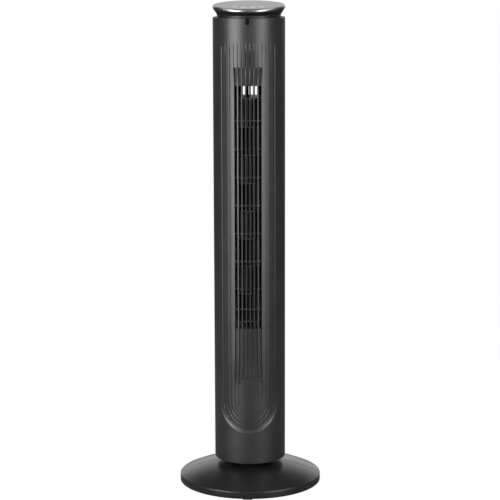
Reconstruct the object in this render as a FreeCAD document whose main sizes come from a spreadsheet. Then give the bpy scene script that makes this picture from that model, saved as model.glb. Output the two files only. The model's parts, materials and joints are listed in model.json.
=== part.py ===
import FreeCAD, Part
import math
import os
import re
import Sketcher
from FreeCAD import Placement, Rotation, Vector

# Tower fan on a round base.  Millimetres, +Z up, the front looks along -Y.
# Origin: centre of the base, at the level of the soles of its rubber feet.

doc = FreeCAD.newDocument("tower_fan")

# Driving dimensions.  A length that can be chosen by itself has one cell.
SIZES = {
    # base
    "base_radius": 150.0,
    "base_rim_height": 15.5,
    "base_wall": 2.6,
    "dome_rise": 29.0,
    "dome_crown": 5.0,
    "rim_round": 2.0,
    "seam_gap": 0.2,
    "foot_height": 3.5,
    "foot_width": 21.0,
    "foot_depth": 12.0,
    "foot_inset": 6.0,
    "foot_seat": 1.5,
    "foot_count": 5,
    "foot_round": 1.0,
    "pad_margin": 2.0,
    "pad_thick": 3.0,
    # pedestal, on which the column turns
    "pedestal_radius": 41.5,
    "pedestal_wall": 3.0,
    "pedestal_fit": 0.3,
    "socket_wall": 2.5,
    "socket_web": 3.0,
    "socket_depth": 24.0,
    "flange_width": 14.0,
    "flange_thick": 4.0,
    "deck_rise": 6.0,
    "deck_thick": 3.0,
    "boss_radius": 15.0,
    "boss_bore": 9.0,
    "boss_height": 20.0,
    "base_screw_radius": 2.0,
    "base_screw_head": 4.0,
    "base_screw_head_height": 2.4,
    "base_screw_count": 4,
    "screw_play": 0.2,
    # swivel bearing and gears
    "thrust_inner": 34.0,
    "thrust_outer": 40.0,
    "thrust_height": 3.0,
    "thrust_play": 0.1,
    "skirt_wall": 2.5,
    "turntable_lift": 7.0,
    "turntable_thick": 3.0,
    "hub_wall": 3.0,
    "hub_height": 7.7,
    "journal_play": 0.08,
    "ring_groove": 1.4,
    "ring_width": 3.5,
    "ring_thick": 1.6,
    "ring_play": 0.3,
    "ring_slit": 4.0,
    "gear_module": 1.25,
    "gear_teeth": 48,
    "pinion_teeth": 12,
    "gear_width": 9.0,
    "pinion_lift": 0.5,
    "gear_backlash": 0.2,
    "gear_spread": 0.15,
    "pinion_shaft_radius": 3.5,
    "pinion_room": 1.6,
    "swing_motor_radius": 25.0,
    "swing_motor_height": 18.0,
    "swing_motor_offset": 6.0,
    "swing_motor_lift": 1.0,
    "swing_nose_wall": 2.0,
    "swing_nose_gap": 0.2,
    "swing_shaft_depth": 4.0,
    "swing_ear_reach": 6.0,
    "swing_ear_half": 4.0,
    "swing_ear_thick": 1.2,
    # column shells
    "column_radius": 75.0,
    "column_bottom": 57.0,
    "shell_wall": 2.5,
    "cap_thick": 2.4,
    "cap_inset": 0.5,
    "cap_upstand": 12.0,
    "cap_upstand_wall": 2.0,
    "cap_hole_gap": 0.7,
    "cap_post_radius": 4.0,
    "cap_post_inset": 12.0,
    "cap_post_count": 4,
    "shell_seam": 8.0,
    "shell_fit": 0.2,
    "boss_outer": 3.5,
    "boss_across": 66.0,
    "boss_length": 14.0,
    "boss_web": 3.0,
    "screw_radius": 1.5,
    "screw_head_radius": 2.8,
    "screw_head_height": 2.0,
    "screw_length": 16.0,
    "screw_sink": 6.0,
    "screw_rows": 5,
    "screw_margin": 40.0,
    # air outlet in the front shell
    "rib_pitch": 8.36,
    "bar_width": 2.4,
    "slot_count": 7,
    "slot_foot_low": 230.4,
    "slot_foot_rise": 11.9,
    "slot_foot_top": 15.9,
    "slot_head": 38.0,
    "top_band": 99.0,
    "window_width": 8.5,
    "window_height": 13.8,
    "window_sink": 0.4,
    "window_thick": 1.6,
    "window_fit": 0.1,
    "receiver_half": 9.0,
    "receiver_gap": 3.0,
    "receiver_drop": 12.0,
    "eye_half": 3.0,
    "eye_depth": 2.0,
    "eye_low": 1.0,
    "eye_high": 8.0,
    # grille insert behind the outlet
    "insert_gap": 0.5,
    "insert_thick": 2.0,
    "insert_half_width": 33.5,
    "insert_margin": 5.0,
    "insert_frame": 3.0,
    "insert_room": 0.5,
    "opening_lift": 7.0,
    "cross_bar_height": 2.4,
    "cross_bar_depth": 3.0,
    "cross_bar_first": 43.0,
    "cross_bar_last": 41.6,
    "cross_bar_count": 7,
    # air inlet in the rear shell
    "inlet_pitch": 8.69,
    "inlet_bar": 1.9,
    "inlet_slots": 10,
    "inlet_rows": 6,
    "inlet_rail": 4.0,
    "inlet_margin": 5.0,
    # blower wheel
    "wheel_radius": 46.0,
    "wheel_x": -4.0,
    "wheel_y": 8.0,
    "wheel_segments": 8,
    "segment_pitch": 58.5,
    "segment_disc": 2.4,
    "segment_rim": 16.0,
    "blade_inset": 0.3,
    "blade_count": 36,
    "blade_depth": 10.0,
    "blade_thick": 1.2,
    "blade_sweep": 7.0,
    "blade_camber": 2.4,
    "shaft_radius": 3.0,
    "shaft_play": 0.05,
    "shaft_over": 4.0,
    "wheel_boss_wall": 4.0,
    "wheel_boss_drop": 12.0,
    "wheel_boss_rise": 3.0,
    "hub_sleeve_wall": 2.5,
    "wheel_foot_gap": 15.0,
    "wheel_head_gap": 27.9,
    # air duct around the wheel
    "duct_wall": 1.8,
    "duct_gap": 2.6,
    "outlet_half": 33.0,
    "outlet_plane": 59.0,
    "outlet_shift": -2.0,
    "scroll_end": 66.0,
    "tongue_start": 150.0,
    "tongue_end": 207.0,
    "shroud_height": 38.0,
    "shroud_gap": 4.0,
    "shroud_step": 140.0,
    "shroud_clear": 2.0,
    "tongue_nose_gap": 1.5,
    "tongue_tail_gap": 9.0,
    "shroud_rear_left": 105.0,
    "shroud_front_left": 168.0,
    "plate_thick": 3.0,
    "plate_fit": 0.4,
    # upper bearing
    "bush_wall": 2.5,
    "bush_height": 10.0,
    "holder_wall": 5.0,
    "holder_height": 8.0,
    "bearing_cup_wall": 2.5,
    "bearing_lift": 1.5,
    "shaft_way": 2.0,
    # blower motor
    "motor_bay": 281.0,
    "motor_radius": 40.0,
    "rotor_radius": 24.0,
    "rotor_gap": 0.5,
    "stator_height": 46.0,
    "motor_cover_height": 12.0,
    "motor_cover_wall": 2.0,
    "motor_drop": 14.0,
    "motor_shaft_radius": 4.0,
    "motor_bush_wall": 3.0,
    "motor_bush_height": 8.0,
    "motor_bush_lip": 3.0,
    "rotor_tail": 6.0,
    "stator_web": 8.0,
    "pole_count": 6,
    "pole_half": 6.0,
    "pole_reach": 4.0,
    "coupling_radius": 9.0,
    "coupling_height": 12.0,
    "mount_circle": 47.0,
    "mount_radius": 6.0,
    "mount_count": 4,
    "mount_ear_thick": 3.0,
    "mount_ear_margin": 3.0,
    "mount_post_radius": 4.0,
    "rubber_step": 1.5,
    "rubber_upper": 3.0,
    "rubber_lower": 2.0,
    "mount_screw_radius": 2.0,
    "mount_screw_head": 4.0,
    "mount_screw_head_height": 2.5,
    "mount_screw_bite": 10.0,
    "motor_way": 4.0,
    # electrics
    "board_width": 70.0,
    "board_height": 90.0,
    "board_thick": 1.6,
    "board_rise": 70.0,
    "board_back": 38.0,
    "board_rail": 4.0,
    "capacitor_width": 36.0,
    "capacitor_depth": 16.0,
    "capacitor_height": 26.0,
    "capacitor_gap": 8.0,
    "capacitor_lift": 4.0,
    "tab_half": 3.0,
    "tab_height": 12.0,
    "gland_rise": 55.0,
    "gland_radius": 8.0,
    "gland_flange": 10.0,
    "gland_flange_thick": 2.5,
    "gland_length": 16.0,
    "cord_hole": 3.6,
    # control head
    "neck_foot_radius": 65.5,
    "neck_top_radius": 74.0,
    "neck_height": 17.7,
    "neck_wall": 3.0,
    "neck_flange_thick": 3.0,
    "neck_flange_sink": 1.3,
    "ledge_rise": 3.0,
    "ledge_height": 1.6,
    "ledge_width": 1.4,
    "disc_radius": 75.0,
    "disc_thick": 7.2,
    "disc_skin": 2.2,
    "disc_tilt": 5.0,
    "disc_round": 3.0,
    "disc_edge": 0.8,
    "button_radius": 7.0,
    "button_circle": 46.0,
    "button_step": 24.0,
    "button_count": 4,
    "button_gap": 0.3,
    "button_proud": 0.3,
    "button_flange": 1.4,
    "button_flange_thick": 1.0,
    "button_stem": 2.0,
    "button_travel": 0.8,
    "switch_play": 0.4,
    "switch_half": 3.0,
    "switch_height": 1.6,
    "board_disc_radius": 60.0,
    "board_disc_drop": 1.5,
    "board_post_radius": 3.0,
    "board_post_count": 4,
    "board_post_inset": 5.0,
}

sheet = doc.addObject("Spreadsheet::Sheet", "Sizes")
for row, (name, value) in enumerate(SIZES.items(), start=1):
    sheet.set(f"A{row}", name)
    sheet.set(f"B{row}", str(value))
    sheet.setAlias(f"B{row}", name)
doc.recompute()

# Places and sizes that follow from the driving dimensions.
levels = doc.addObject("App::VarSet", "Levels")
level_names = []


def formula(words):
    """Name the owner of every size in an expression."""
    def owner(found):
        word = found.group(0)
        if word in SIZES:
            return "Sizes." + word
        if word in level_names:
            return "Levels." + word
        return word
    return re.sub(r"[a-z][a-z_]+", owner, words)


def derive(name, words):
    levels.addProperty("App::PropertyFloat", name)
    levels.setExpression(name, formula(words))
    level_names.append(name)


derive("base_bottom", "foot_height")
derive("rim_top", "base_bottom + base_rim_height")
derive("dome_top", "rim_top + dome_rise")
derive("web_top", "dome_top - socket_depth")
derive("deck_bottom", "column_bottom + deck_rise")
derive("deck_top", "deck_bottom + deck_thick")
derive("boss_top", "deck_top + boss_height")
derive("skirt_bottom", "deck_top + thrust_height + thrust_play")
derive("turntable_bottom", "skirt_bottom + turntable_lift")
derive("turntable_top", "turntable_bottom + turntable_thick")
derive("hub_top", "turntable_bottom + hub_height")
derive("gear_pitch_radius", "gear_module * gear_teeth / 2")
derive("pinion_pitch_radius", "gear_module * pinion_teeth / 2")
derive("gear_distance", "gear_pitch_radius + pinion_pitch_radius + gear_spread")
derive("swing_motor_bottom", "turntable_top + swing_motor_lift")
derive("shell_bottom", "column_bottom + cap_thick")
derive("shell_inner", "column_radius - shell_wall")
derive("fit_radius", "shell_inner - plate_fit")
derive("duct_bottom", "column_bottom + motor_bay + plate_thick")
derive("wheel_bottom", "duct_bottom + wheel_foot_gap")
derive("wheel_top", "wheel_bottom + wheel_segments * segment_pitch + segment_disc")
derive("duct_top", "wheel_top + wheel_head_gap")
derive("slot_top", "duct_top + slot_head")
derive("column_top", "slot_top + top_band")
derive("slot_width", "rib_pitch - bar_width")
derive("window_centre", "column_top - window_height + window_width / 2")
derive("insert_outer", "shell_inner - insert_gap")
derive("cross_bar_low", "duct_bottom + opening_lift + cross_bar_last")
derive("motor_top", "duct_bottom - plate_thick - motor_drop")
derive("stator_top", "motor_top - motor_cover_height")
derive("stator_bottom", "stator_top - stator_height")
derive("motor_bottom", "stator_bottom - motor_cover_height")
derive("neck_top", "column_top + neck_height")
derive("ring_bottom", "hub_top + ring_play")
derive("screw_reach", "column_top - shell_bottom - 2 * screw_margin")
derive("inlet_step", "(duct_top - duct_bottom - 2 * inlet_margin + inlet_rail) / inlet_rows")
doc.recompute()


def bind(item, prop, words):
    item.setExpression(prop, formula(str(words)))


def place(item, x="0", y="0", z="0"):
    bind(item, "Placement.Base.x", x)
    bind(item, "Placement.Base.y", y)
    bind(item, "Placement.Base.z", z)
    return item


def cylinder(radius, bottom, top, x="0", y="0"):
    item = doc.addObject("Part::Cylinder", "Cylinder")
    bind(item, "Radius", radius)
    bind(item, "Height", f"({top}) - ({bottom})")
    return place(item, x, y, bottom)


def rod(radius, x, z, start, length):
    """A cylinder that lies along +Y from y = start."""
    item = doc.addObject("Part::Cylinder", "Rod")
    bind(item, "Radius", radius)
    bind(item, "Height", length)
    item.Placement = Placement(Vector(0, 0, 0), Rotation(Vector(1, 0, 0), -90))
    return place(item, x, start, z)


def box(x0, x1, y0, y1, z0, z1):
    item = doc.addObject("Part::Box", "Box")
    bind(item, "Length", f"({x1}) - ({x0})")
    bind(item, "Width", f"({y1}) - ({y0})")
    bind(item, "Height", f"({z1}) - ({z0})")
    return place(item, x0, y0, z0)


def fuse(*pieces):
    item = doc.addObject("Part::MultiFuse", "Fuse")
    item.Shapes = list(pieces)
    item.Refine = True
    return item


def cut(base, *tools):
    item = doc.addObject("Part::Cut", "Cut")
    item.Base = base
    item.Tool = tools[0] if len(tools) == 1 else fuse(*tools)
    return item


def common(*pieces):
    item = doc.addObject("Part::MultiCommon", "Common")
    item.Shapes = list(pieces)
    return item


def ring(outer, inner, bottom, top, x="0", y="0"):
    hole = cylinder(inner, f"({bottom}) - 1", f"({top}) + 1", x, y)
    return cut(cylinder(outer, bottom, top, x, y), hole)


def turned(profile, name):
    """A body turned about Z from a closed outline of (radius, height) corners."""
    body = doc.addObject("PartDesign::Body", name)
    sketch = body.newObject("Sketcher::SketchObject", name + "Outline")
    plane = [f for f in body.Origin.OriginFeatures if f.Role == "XZ_Plane"][0]
    sketch.AttachmentSupport = [(plane, "")]
    sketch.MapMode = "FlatFace"
    probe = doc.addObject("App::VarSet", "Corners")
    count = len(profile)
    for number, (radius, height) in enumerate(profile):
        for axis, words in (("across", radius), ("up", height)):
            prop = f"{axis}_{number}"
            probe.addProperty("App::PropertyFloat", prop)
            probe.setExpression(prop, formula(str(words)))
    doc.recompute()
    corners = []
    for k in range(count):
        corners.append(Vector(getattr(probe, f"across_{k}"), getattr(probe, f"up_{k}"), 0))
    for k in range(count):
        sketch.addGeometry(Part.LineSegment(corners[k], corners[(k + 1) % count]))
    for k in range(count):
        sketch.addConstraint(Sketcher.Constraint("Coincident", k, 2, (k + 1) % count, 1))
    for k in range(count):
        spot = sketch.addConstraint(Sketcher.Constraint("DistanceX", -1, 1, k, 1, corners[k].x))
        sketch.setExpression(f"Constraints[{spot}]", f"{probe.Name}.across_{k}")
        spot = sketch.addConstraint(Sketcher.Constraint("DistanceY", -1, 1, k, 1, corners[k].y))
        sketch.setExpression(f"Constraints[{spot}]", f"{probe.Name}.up_{k}")
    turn = body.newObject("PartDesign::Revolution", name + "Turn")
    turn.Profile = sketch
    turn.ReferenceAxis = (sketch, ["V_Axis"])
    turn.Angle = 360
    return body


def solid(shape, name):
    """A piece whose outline no primitive gives."""
    item = doc.addObject("Part::Feature", name)
    item.Shape = shape
    return item


def swung(item, degrees):
    """The piece swung about Z by an angle."""
    turn = doc.addObject("Part::Compound", "Swung")
    turn.Links = [item]
    turn.Placement = Placement(Vector(0, 0, 0), Rotation(Vector(0, 0, 1), degrees))
    return turn


def bundle(items, name):
    """Loose pieces that are listed as one."""
    group = doc.addObject("Part::Compound", name)
    group.Links = items
    return group


nodes = []


def node(item, label):
    item.Label = label
    nodes.append(item)
    return item


def polar(radius, degrees):
    return f"({radius}) * cos({degrees} deg)", f"({radius}) * sin({degrees} deg)"


# ---------------------------------------------------------------- base
# Two moulded halves that meet on a left-to-right line, dome above, open below.

def dome_section(offset):
    """Half outline of the dome, moved inwards by offset."""
    outer = sheet.base_radius - offset
    low = levels.base_bottom
    rim = levels.rim_top - offset * 0.6
    high = levels.dome_top - offset
    mid_r = (outer + sheet.pedestal_radius) / 2
    mid_z = (rim + high) / 2 + sheet.dome_crown
    round_r = sheet.rim_round
    start = Vector(0, 0, low)
    side_low = Vector(outer - round_r * 0.6, 0, low)
    side_start = Vector(outer, 0, low + round_r)
    side_end = Vector(outer, 0, rim - round_r)
    bend = Vector(outer - round_r * 0.3, 0, rim - round_r * 0.3)
    shoulder = Vector(outer - round_r, 0, rim)
    crown = Vector(sheet.pedestal_radius, 0, high)
    top = Vector(0, 0, high)
    edges = [
        Part.LineSegment(start, side_low).toShape(),
        Part.LineSegment(side_low, side_start).toShape(),
        Part.LineSegment(side_start, side_end).toShape(),
        Part.Arc(side_end, bend, shoulder).toShape(),
        Part.Arc(shoulder, Vector(mid_r, 0, mid_z), crown).toShape(),
        Part.LineSegment(crown, top).toShape(),
        Part.LineSegment(top, start).toShape(),
    ]
    return Part.Face(Part.Wire(edges))


def dome_solid(offset, name):
    axis = Vector(0, 0, 1)
    return solid(dome_section(offset).revolve(Vector(0, 0, 0), axis, 360), name)


dome_outer = dome_solid(0.0, "DomeOuter")
dome_room = dome_solid(sheet.base_wall, "DomeRoom")
room_open = cylinder("base_radius - base_wall", "base_bottom - 5", "base_bottom + 3")
dome_shell = cut(dome_outer, dome_room, room_open)
socket_outer = "pedestal_radius + flange_width + pedestal_fit + socket_wall"
socket_inner = "pedestal_radius + flange_width + pedestal_fit"
socket_wall = ring(socket_outer, socket_inner, "web_top - socket_web", "dome_top")
socket_web = ring(socket_outer, "pedestal_radius - flange_width", "web_top - socket_web", "web_top")
socket = common(fuse(socket_wall, socket_web), dome_solid(sheet.base_wall / 2, "DomeMiddle"))
base_whole = fuse(dome_shell, socket)
neck_hole = cylinder("pedestal_radius + pedestal_fit", "web_top + 1", "dome_top + 5")
screw_circle = "pedestal_radius + flange_width / 2"
base_screw_spots = []
for number in range(int(sheet.base_screw_count)):
    base_screw_spots.append(polar(screw_circle, 45 + 360 / sheet.base_screw_count * number))
base_screw_holes = []
for x, y in base_screw_spots:
    hole = cylinder("base_screw_radius + screw_play", "web_top - socket_web - 1", "web_top + 1", x, y)
    base_screw_holes.append(hole)
foot_angles = [360 / sheet.foot_count * number for number in range(int(sheet.foot_count))]
base_drilled = cut(base_whole, neck_hole, *base_screw_holes)

foot_outer = "-base_radius + foot_inset"
foot_inner = "-base_radius + foot_inset + foot_depth"
foot_top = "base_bottom + foot_seat"
pads = []
seats = []
for angle in foot_angles:
    pad = box("-foot_width / 2 - pad_margin", "foot_width / 2 + pad_margin", "-base_radius",
              f"{foot_inner} + pad_margin", "base_bottom", f"{foot_top} + pad_thick")
    pads.append(swung(pad, angle))
    seat = box("-foot_width / 2", "foot_width / 2", foot_outer, foot_inner, "base_bottom - 5", foot_top)
    seats.append(swung(seat, angle))
base_padded = fuse(base_drilled, common(fuse(*pads), dome_outer))
base_seated = cut(base_padded, *seats)

reach = "2 * base_radius"
front_room = box(f"-{reach}", reach, f"-{reach}", "-seam_gap / 2", "-10", "dome_top + 20")
rear_room = box(f"-{reach}", reach, "seam_gap / 2", reach, "-10", "dome_top + 20")
node(common(base_seated, front_room), "base_front_half")
node(common(base_seated, rear_room), "base_rear_half")

# Rubber feet, glued into shallow seats near the rim.
for number, angle in enumerate(foot_angles, start=1):
    block = box("-foot_width / 2", "foot_width / 2", foot_outer, foot_inner, "0", foot_top)
    foot = doc.addObject("Part::Fillet", "Foot")
    foot.Base = block
    doc.recompute()
    sole = []
    for k, edge in enumerate(block.Shape.Edges, start=1):
        if edge.BoundBox.ZMax < 0.01:
            sole.append((k, sheet.foot_round, sheet.foot_round))
    foot.Edges = sole
    node(swung(foot, angle), f"foot_{number}")

# Pedestal: the short black neck, a deck on top of it and a hollow boss.
flange_top = "web_top + flange_thick"
pedestal_body = turned([
    ("pedestal_radius - pedestal_wall", "web_top"),
    ("pedestal_radius + flange_width", "web_top"),
    ("pedestal_radius + flange_width", flange_top),
    ("pedestal_radius", flange_top),
    ("pedestal_radius", "deck_top"),
    ("boss_radius", "deck_top"),
    ("boss_radius", "ring_bottom"),
    ("boss_radius - ring_groove", "ring_bottom"),
    ("boss_radius - ring_groove", "ring_bottom + ring_thick"),
    ("boss_radius", "ring_bottom + ring_thick"),
    ("boss_radius", "boss_top"),
    ("boss_bore", "boss_top"),
    ("boss_bore", "deck_bottom"),
    ("pedestal_radius - pedestal_wall", "deck_bottom"),
], "PedestalBody")
base_screw_pilots = []
for x, y in base_screw_spots:
    base_screw_pilots.append(cylinder("base_screw_radius", "web_top - 1", f"{flange_top} + 1", x, y))
node(cut(pedestal_body, *base_screw_pilots), "pedestal")

# Screws that clamp the base halves to the pedestal, driven from below.
web_bottom = "web_top - socket_web"
screws = []
for x, y in base_screw_spots:
    head = cylinder("base_screw_head", f"{web_bottom} - base_screw_head_height", web_bottom, x, y)
    shank = cylinder("base_screw_radius", f"{web_bottom} - 0.5", f"{flange_top} + 0.5", x, y)
    screws.append(fuse(head, shank))
node(bundle(screws, "BaseScrews"), "base_screws")

# Slippery ring that carries the column, and the ring that keeps it down.
node(ring("thrust_outer", "thrust_inner", "deck_top", "deck_top + thrust_height"), "thrust_ring")
keeper = ring("boss_radius - ring_groove + ring_width", "boss_radius - ring_groove",
              "ring_bottom", "ring_bottom + ring_thick")
keeper_slit = box("-ring_slit / 2", "ring_slit / 2", "0", "boss_radius + ring_width + 2",
                  "ring_bottom - 1", "ring_bottom + ring_thick + 1")
node(cut(keeper, keeper_slit), "retaining_ring")


def tooth_outline(teeth, phase):
    """Corners of an involute gear, phase in degrees to the first tooth."""
    pressure = math.radians(20)
    pitch = sheet.gear_module * teeth / 2
    base_circle = pitch * math.cos(pressure)
    tip = pitch + sheet.gear_module
    root = pitch - 1.25 * sheet.gear_module
    lean = math.tan(pressure) - pressure
    half_pitch = math.pi / (2 * teeth) - sheet.gear_backlash / (2 * pitch)
    start = max(base_circle, root)
    flank = [start + (tip - start) * k / 4 for k in range(5)]

    def half_angle(radius):
        roll = math.acos(min(1.0, base_circle / radius))
        return half_pitch + lean - (math.tan(roll) - roll)

    side = [(root, half_angle(start))] + [(r, half_angle(r)) for r in flank]
    corners = []
    for tooth in range(teeth):
        middle = math.radians(phase) + 2 * math.pi * tooth / teeth
        for radius, angle in side:
            corners.append((radius, middle - angle))
        for radius, angle in reversed(side):
            corners.append((radius, middle + angle))
    points = [Vector(r * math.cos(a), r * math.sin(a), 0) for r, a in corners]
    kept = [p for k, p in enumerate(points) if p.distanceToPoint(points[k - 1]) > 1e-4]
    return kept + [kept[0]]


def gear_blank(teeth, phase, width):
    face = Part.Face(Part.makePolygon(tooth_outline(teeth, phase)))
    return face.extrude(Vector(0, 0, width))


gear_body = solid(gear_blank(int(sheet.gear_teeth), 90.0, sheet.gear_width), "GearBlank")
place(gear_body, "0", "0", "deck_top")
gear_bore = cylinder("boss_radius", "deck_top - 1", "deck_top + gear_width + 1")
node(cut(gear_body, gear_bore), "swivel_gear")

# ---------------------------------------------------------------- swing drive
# The pinion hangs from the swing motor, in mesh with the fixed gear.
half_tooth = 180.0 / sheet.pinion_teeth
pinion_bottom = "deck_top + thrust_height + pinion_lift"
pinion_width = sheet.gear_width - sheet.thrust_height - sheet.pinion_lift
pinion_teeth = gear_blank(int(sheet.pinion_teeth), 90.0 + half_tooth, pinion_width)
pinion_blank = solid(pinion_teeth, "PinionBlank")
on_pinion = ("0", "gear_distance")
place(pinion_blank, *on_pinion, pinion_bottom)
shaft_end = "swing_motor_bottom + swing_shaft_depth"
pinion_shaft = cylinder("pinion_shaft_radius", f"{pinion_bottom} + 0.5", shaft_end, *on_pinion)
node(fuse(pinion_blank, pinion_shaft), "swing_pinion")

motor_y = "gear_distance + swing_motor_offset"
swing_case = cylinder("swing_motor_radius", "swing_motor_bottom",
                      "swing_motor_bottom + swing_motor_height", "0", motor_y)
swing_nose = cylinder("pinion_shaft_radius + swing_nose_wall", "turntable_bottom + 0.5",
                      "swing_motor_bottom", *on_pinion)
swing_bore = cylinder("pinion_shaft_radius + shaft_play", "turntable_bottom - 1",
                      f"{shaft_end} + 0.2", *on_pinion)
ear_end = "swing_motor_radius + swing_ear_reach"
swing_ears = box(f"-({ear_end})", ear_end, f"{motor_y} - swing_ear_half", f"{motor_y} + swing_ear_half",
                 "swing_motor_bottom", "swing_motor_bottom + swing_ear_thick")
swing_ears_in = common(swing_ears, cylinder("fit_radius - cap_upstand_wall", "0", "column_top"))
node(cut(fuse(swing_case, swing_nose, swing_ears_in), swing_bore), "swing_motor")

# ---------------------------------------------------------------- column foot
table_disc = cylinder("fit_radius - cap_upstand_wall - 1", "turntable_bottom", "turntable_top")
table_skirt = ring("thrust_inner + skirt_wall", "thrust_inner", "skirt_bottom", "turntable_bottom + 0.5")
table_hub = cylinder("boss_radius + hub_wall", "turntable_bottom", "hub_top")
table_whole = fuse(table_disc, table_skirt, table_hub)
journal = cylinder("boss_radius + journal_play", "turntable_bottom - 1", "hub_top + 1")
pinion_clear = "gear_module * (pinion_teeth / 2 + 1) + pinion_room"
pinion_bay = cylinder(pinion_clear, "deck_top - 1", "turntable_bottom - 0.01", *on_pinion)
nose_hole = cylinder("pinion_shaft_radius + swing_nose_wall + swing_nose_gap", "turntable_bottom - 1",
                     "turntable_top + 1", *on_pinion)
node(cut(table_whole, journal, pinion_bay, nose_hole), "turntable")

# Bottom cap: the lip under the shells, with a wall that the shells close round.
cap_plate = ring("column_radius - cap_inset", "pedestal_radius + cap_hole_gap",
                "column_bottom", "shell_bottom")
cap_wall = ring("fit_radius", "fit_radius - cap_upstand_wall", "shell_bottom - 0.5",
                "shell_bottom + cap_upstand")
cap_posts = []
for number in range(int(sheet.cap_post_count)):
    x, y = polar("fit_radius - cap_post_inset", 45 + 360 / sheet.cap_post_count * number)
    cap_posts.append(cylinder("cap_post_radius", "shell_bottom - 0.5", "turntable_bottom", x, y))
node(fuse(cap_plate, cap_wall, *cap_posts), "bottom_cap")

# ---------------------------------------------------------------- shells
tall = "column_top + 200"
shell_tube = ring("column_radius", "shell_inner", "shell_bottom", "column_top")
front_meet = "shell_seam - shell_fit / 2"
rear_meet = "shell_seam + shell_fit / 2"
wide = "2 * column_radius"
front_half = box(f"-{wide}", wide, f"-{wide}", front_meet, "0", tall)
rear_half = box(f"-{wide}", wide, rear_meet, wide, "0", tall)

screw_levels = []
for number in range(int(sheet.screw_rows)):
    screw_levels.append(f"shell_bottom + screw_margin + {number / (sheet.screw_rows - 1)} * screw_reach")
screw_spots = []
for height in screw_levels:
    screw_spots.append(("boss_across", "column_radius", height))
    screw_spots.append(("-boss_across", "-column_radius", height))

front_bosses = []
front_webs = []
front_pilots = []
for side, wall, height in screw_spots:
    low, high = (side, wall) if wall == "column_radius" else (wall, side)
    front_bosses.append(rod("boss_outer", side, height, f"{front_meet} - boss_length", "boss_length"))
    front_webs.append(box(low, high, f"{front_meet} - boss_length", front_meet,
                          f"{height} - boss_web / 2", f"{height} + boss_web / 2"))
    front_pilots.append(rod("screw_radius", side, height, "shell_seam - boss_length", "boss_length + 1"))
slots = []
middle = (int(sheet.slot_count) - 1) // 2
for number in range(int(sheet.slot_count)):
    place_x = f"{number - middle} * rib_pitch"
    rise = {0: "slot_foot_top", 1: "slot_foot_rise"}.get(abs(number - middle), "0")
    slots.append(box(f"{place_x} - slot_width / 2", f"{place_x} + slot_width / 2",
                     "-column_radius - 2", "-column_radius / 2", f"slot_foot_low + {rise}", "slot_top"))
window_slot = box("-window_width / 2", "window_width / 2", "-column_radius - 2", "-column_radius / 2",
                  "window_centre", "column_top + 5")
window_round = rod("window_width / 2", "0", "window_centre", "-column_radius - 2", "column_radius / 2")
front_tube = common(shell_tube, front_half)
front_web_set = common(fuse(*front_webs), cylinder("column_radius - shell_wall / 2", "0", tall))
front_solid = fuse(front_tube, front_web_set, *front_bosses)
node(cut(front_solid, window_slot, window_round, *slots, *front_pilots), "front_shell")

rear_tube = common(shell_tube, rear_half)
rear_bosses = []
rear_holes = []
for side, wall, height in screw_spots:
    rear_bosses.append(rod("boss_outer", side, height, rear_meet, "column_radius"))
    rear_holes.append(rod("screw_radius + screw_play", side, height, "shell_seam - 1", "column_radius"))
    rear_holes.append(rod("screw_head_radius + screw_play", side, height, "shell_seam + screw_sink",
                          "column_radius"))
boss_trim = cylinder("column_radius - 0.2", "0", tall)
rear_boss_set = common(fuse(*rear_bosses), boss_trim)
inlets = []
inlet_half = "(inlet_pitch - inlet_bar) / 2"
for row in range(int(sheet.inlet_rows)):
    low = f"duct_bottom + inlet_margin + {row} * inlet_step"
    high = f"{low} + inlet_step - inlet_rail"
    for number in range(int(sheet.inlet_slots)):
        centre = f"{number - (sheet.inlet_slots - 1) / 2} * inlet_pitch"
        inlets.append(box(f"{centre} - {inlet_half}", f"{centre} + {inlet_half}", "column_radius / 2",
                          "column_radius + 5", low, high))
gland_z = "shell_bottom + gland_rise"
gland_hole = rod("gland_radius + 0.1", "0", gland_z, "column_radius / 2", "column_radius")
rear_solid = fuse(rear_tube, rear_boss_set)
node(cut(rear_solid, gland_hole, *rear_holes, *inlets), "rear_shell")

# Screws that pull the two shells together, sunk in the rear bosses.
screws = []
for side, wall, height in screw_spots:
    head = rod("screw_head_radius", side, height, "shell_seam + screw_sink", "screw_head_height")
    shank = rod("screw_radius", side, height, "shell_seam + screw_sink + 0.5 - screw_length", "screw_length")
    screws.append(fuse(head, shank))
node(bundle(screws, "ShellScrews"), "shell_screws")

# Dark window for the remote control's receiver, and the board behind it.
window_body = fuse(
    box("-window_width / 2 + window_fit", "window_width / 2 - window_fit", f"-{wide}", "0",
        "window_centre", "column_top"),
    rod("window_width / 2 - window_fit", "0", "window_centre", f"-{wide}", wide),
)
window_skin = ring("column_radius - window_sink", "column_radius - window_sink - window_thick",
                   "column_top - window_height", "column_top")
node(common(window_body, window_skin), "receiver_window")
receiver_face = "-shell_inner + receiver_gap"
window_low = "column_top - window_height"
receiver_board = box("-receiver_half", "receiver_half", receiver_face, f"{receiver_face} + board_thick",
                     f"{window_low} - receiver_drop",
                     "column_top - neck_flange_sink - neck_flange_thick - 1")
receiver_eye = box("-eye_half", "eye_half", f"{receiver_face} - eye_depth", receiver_face,
                   f"{window_low} + eye_low", f"{window_low} + eye_high")
node(fuse(receiver_board, receiver_eye), "receiver_board")

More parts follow.
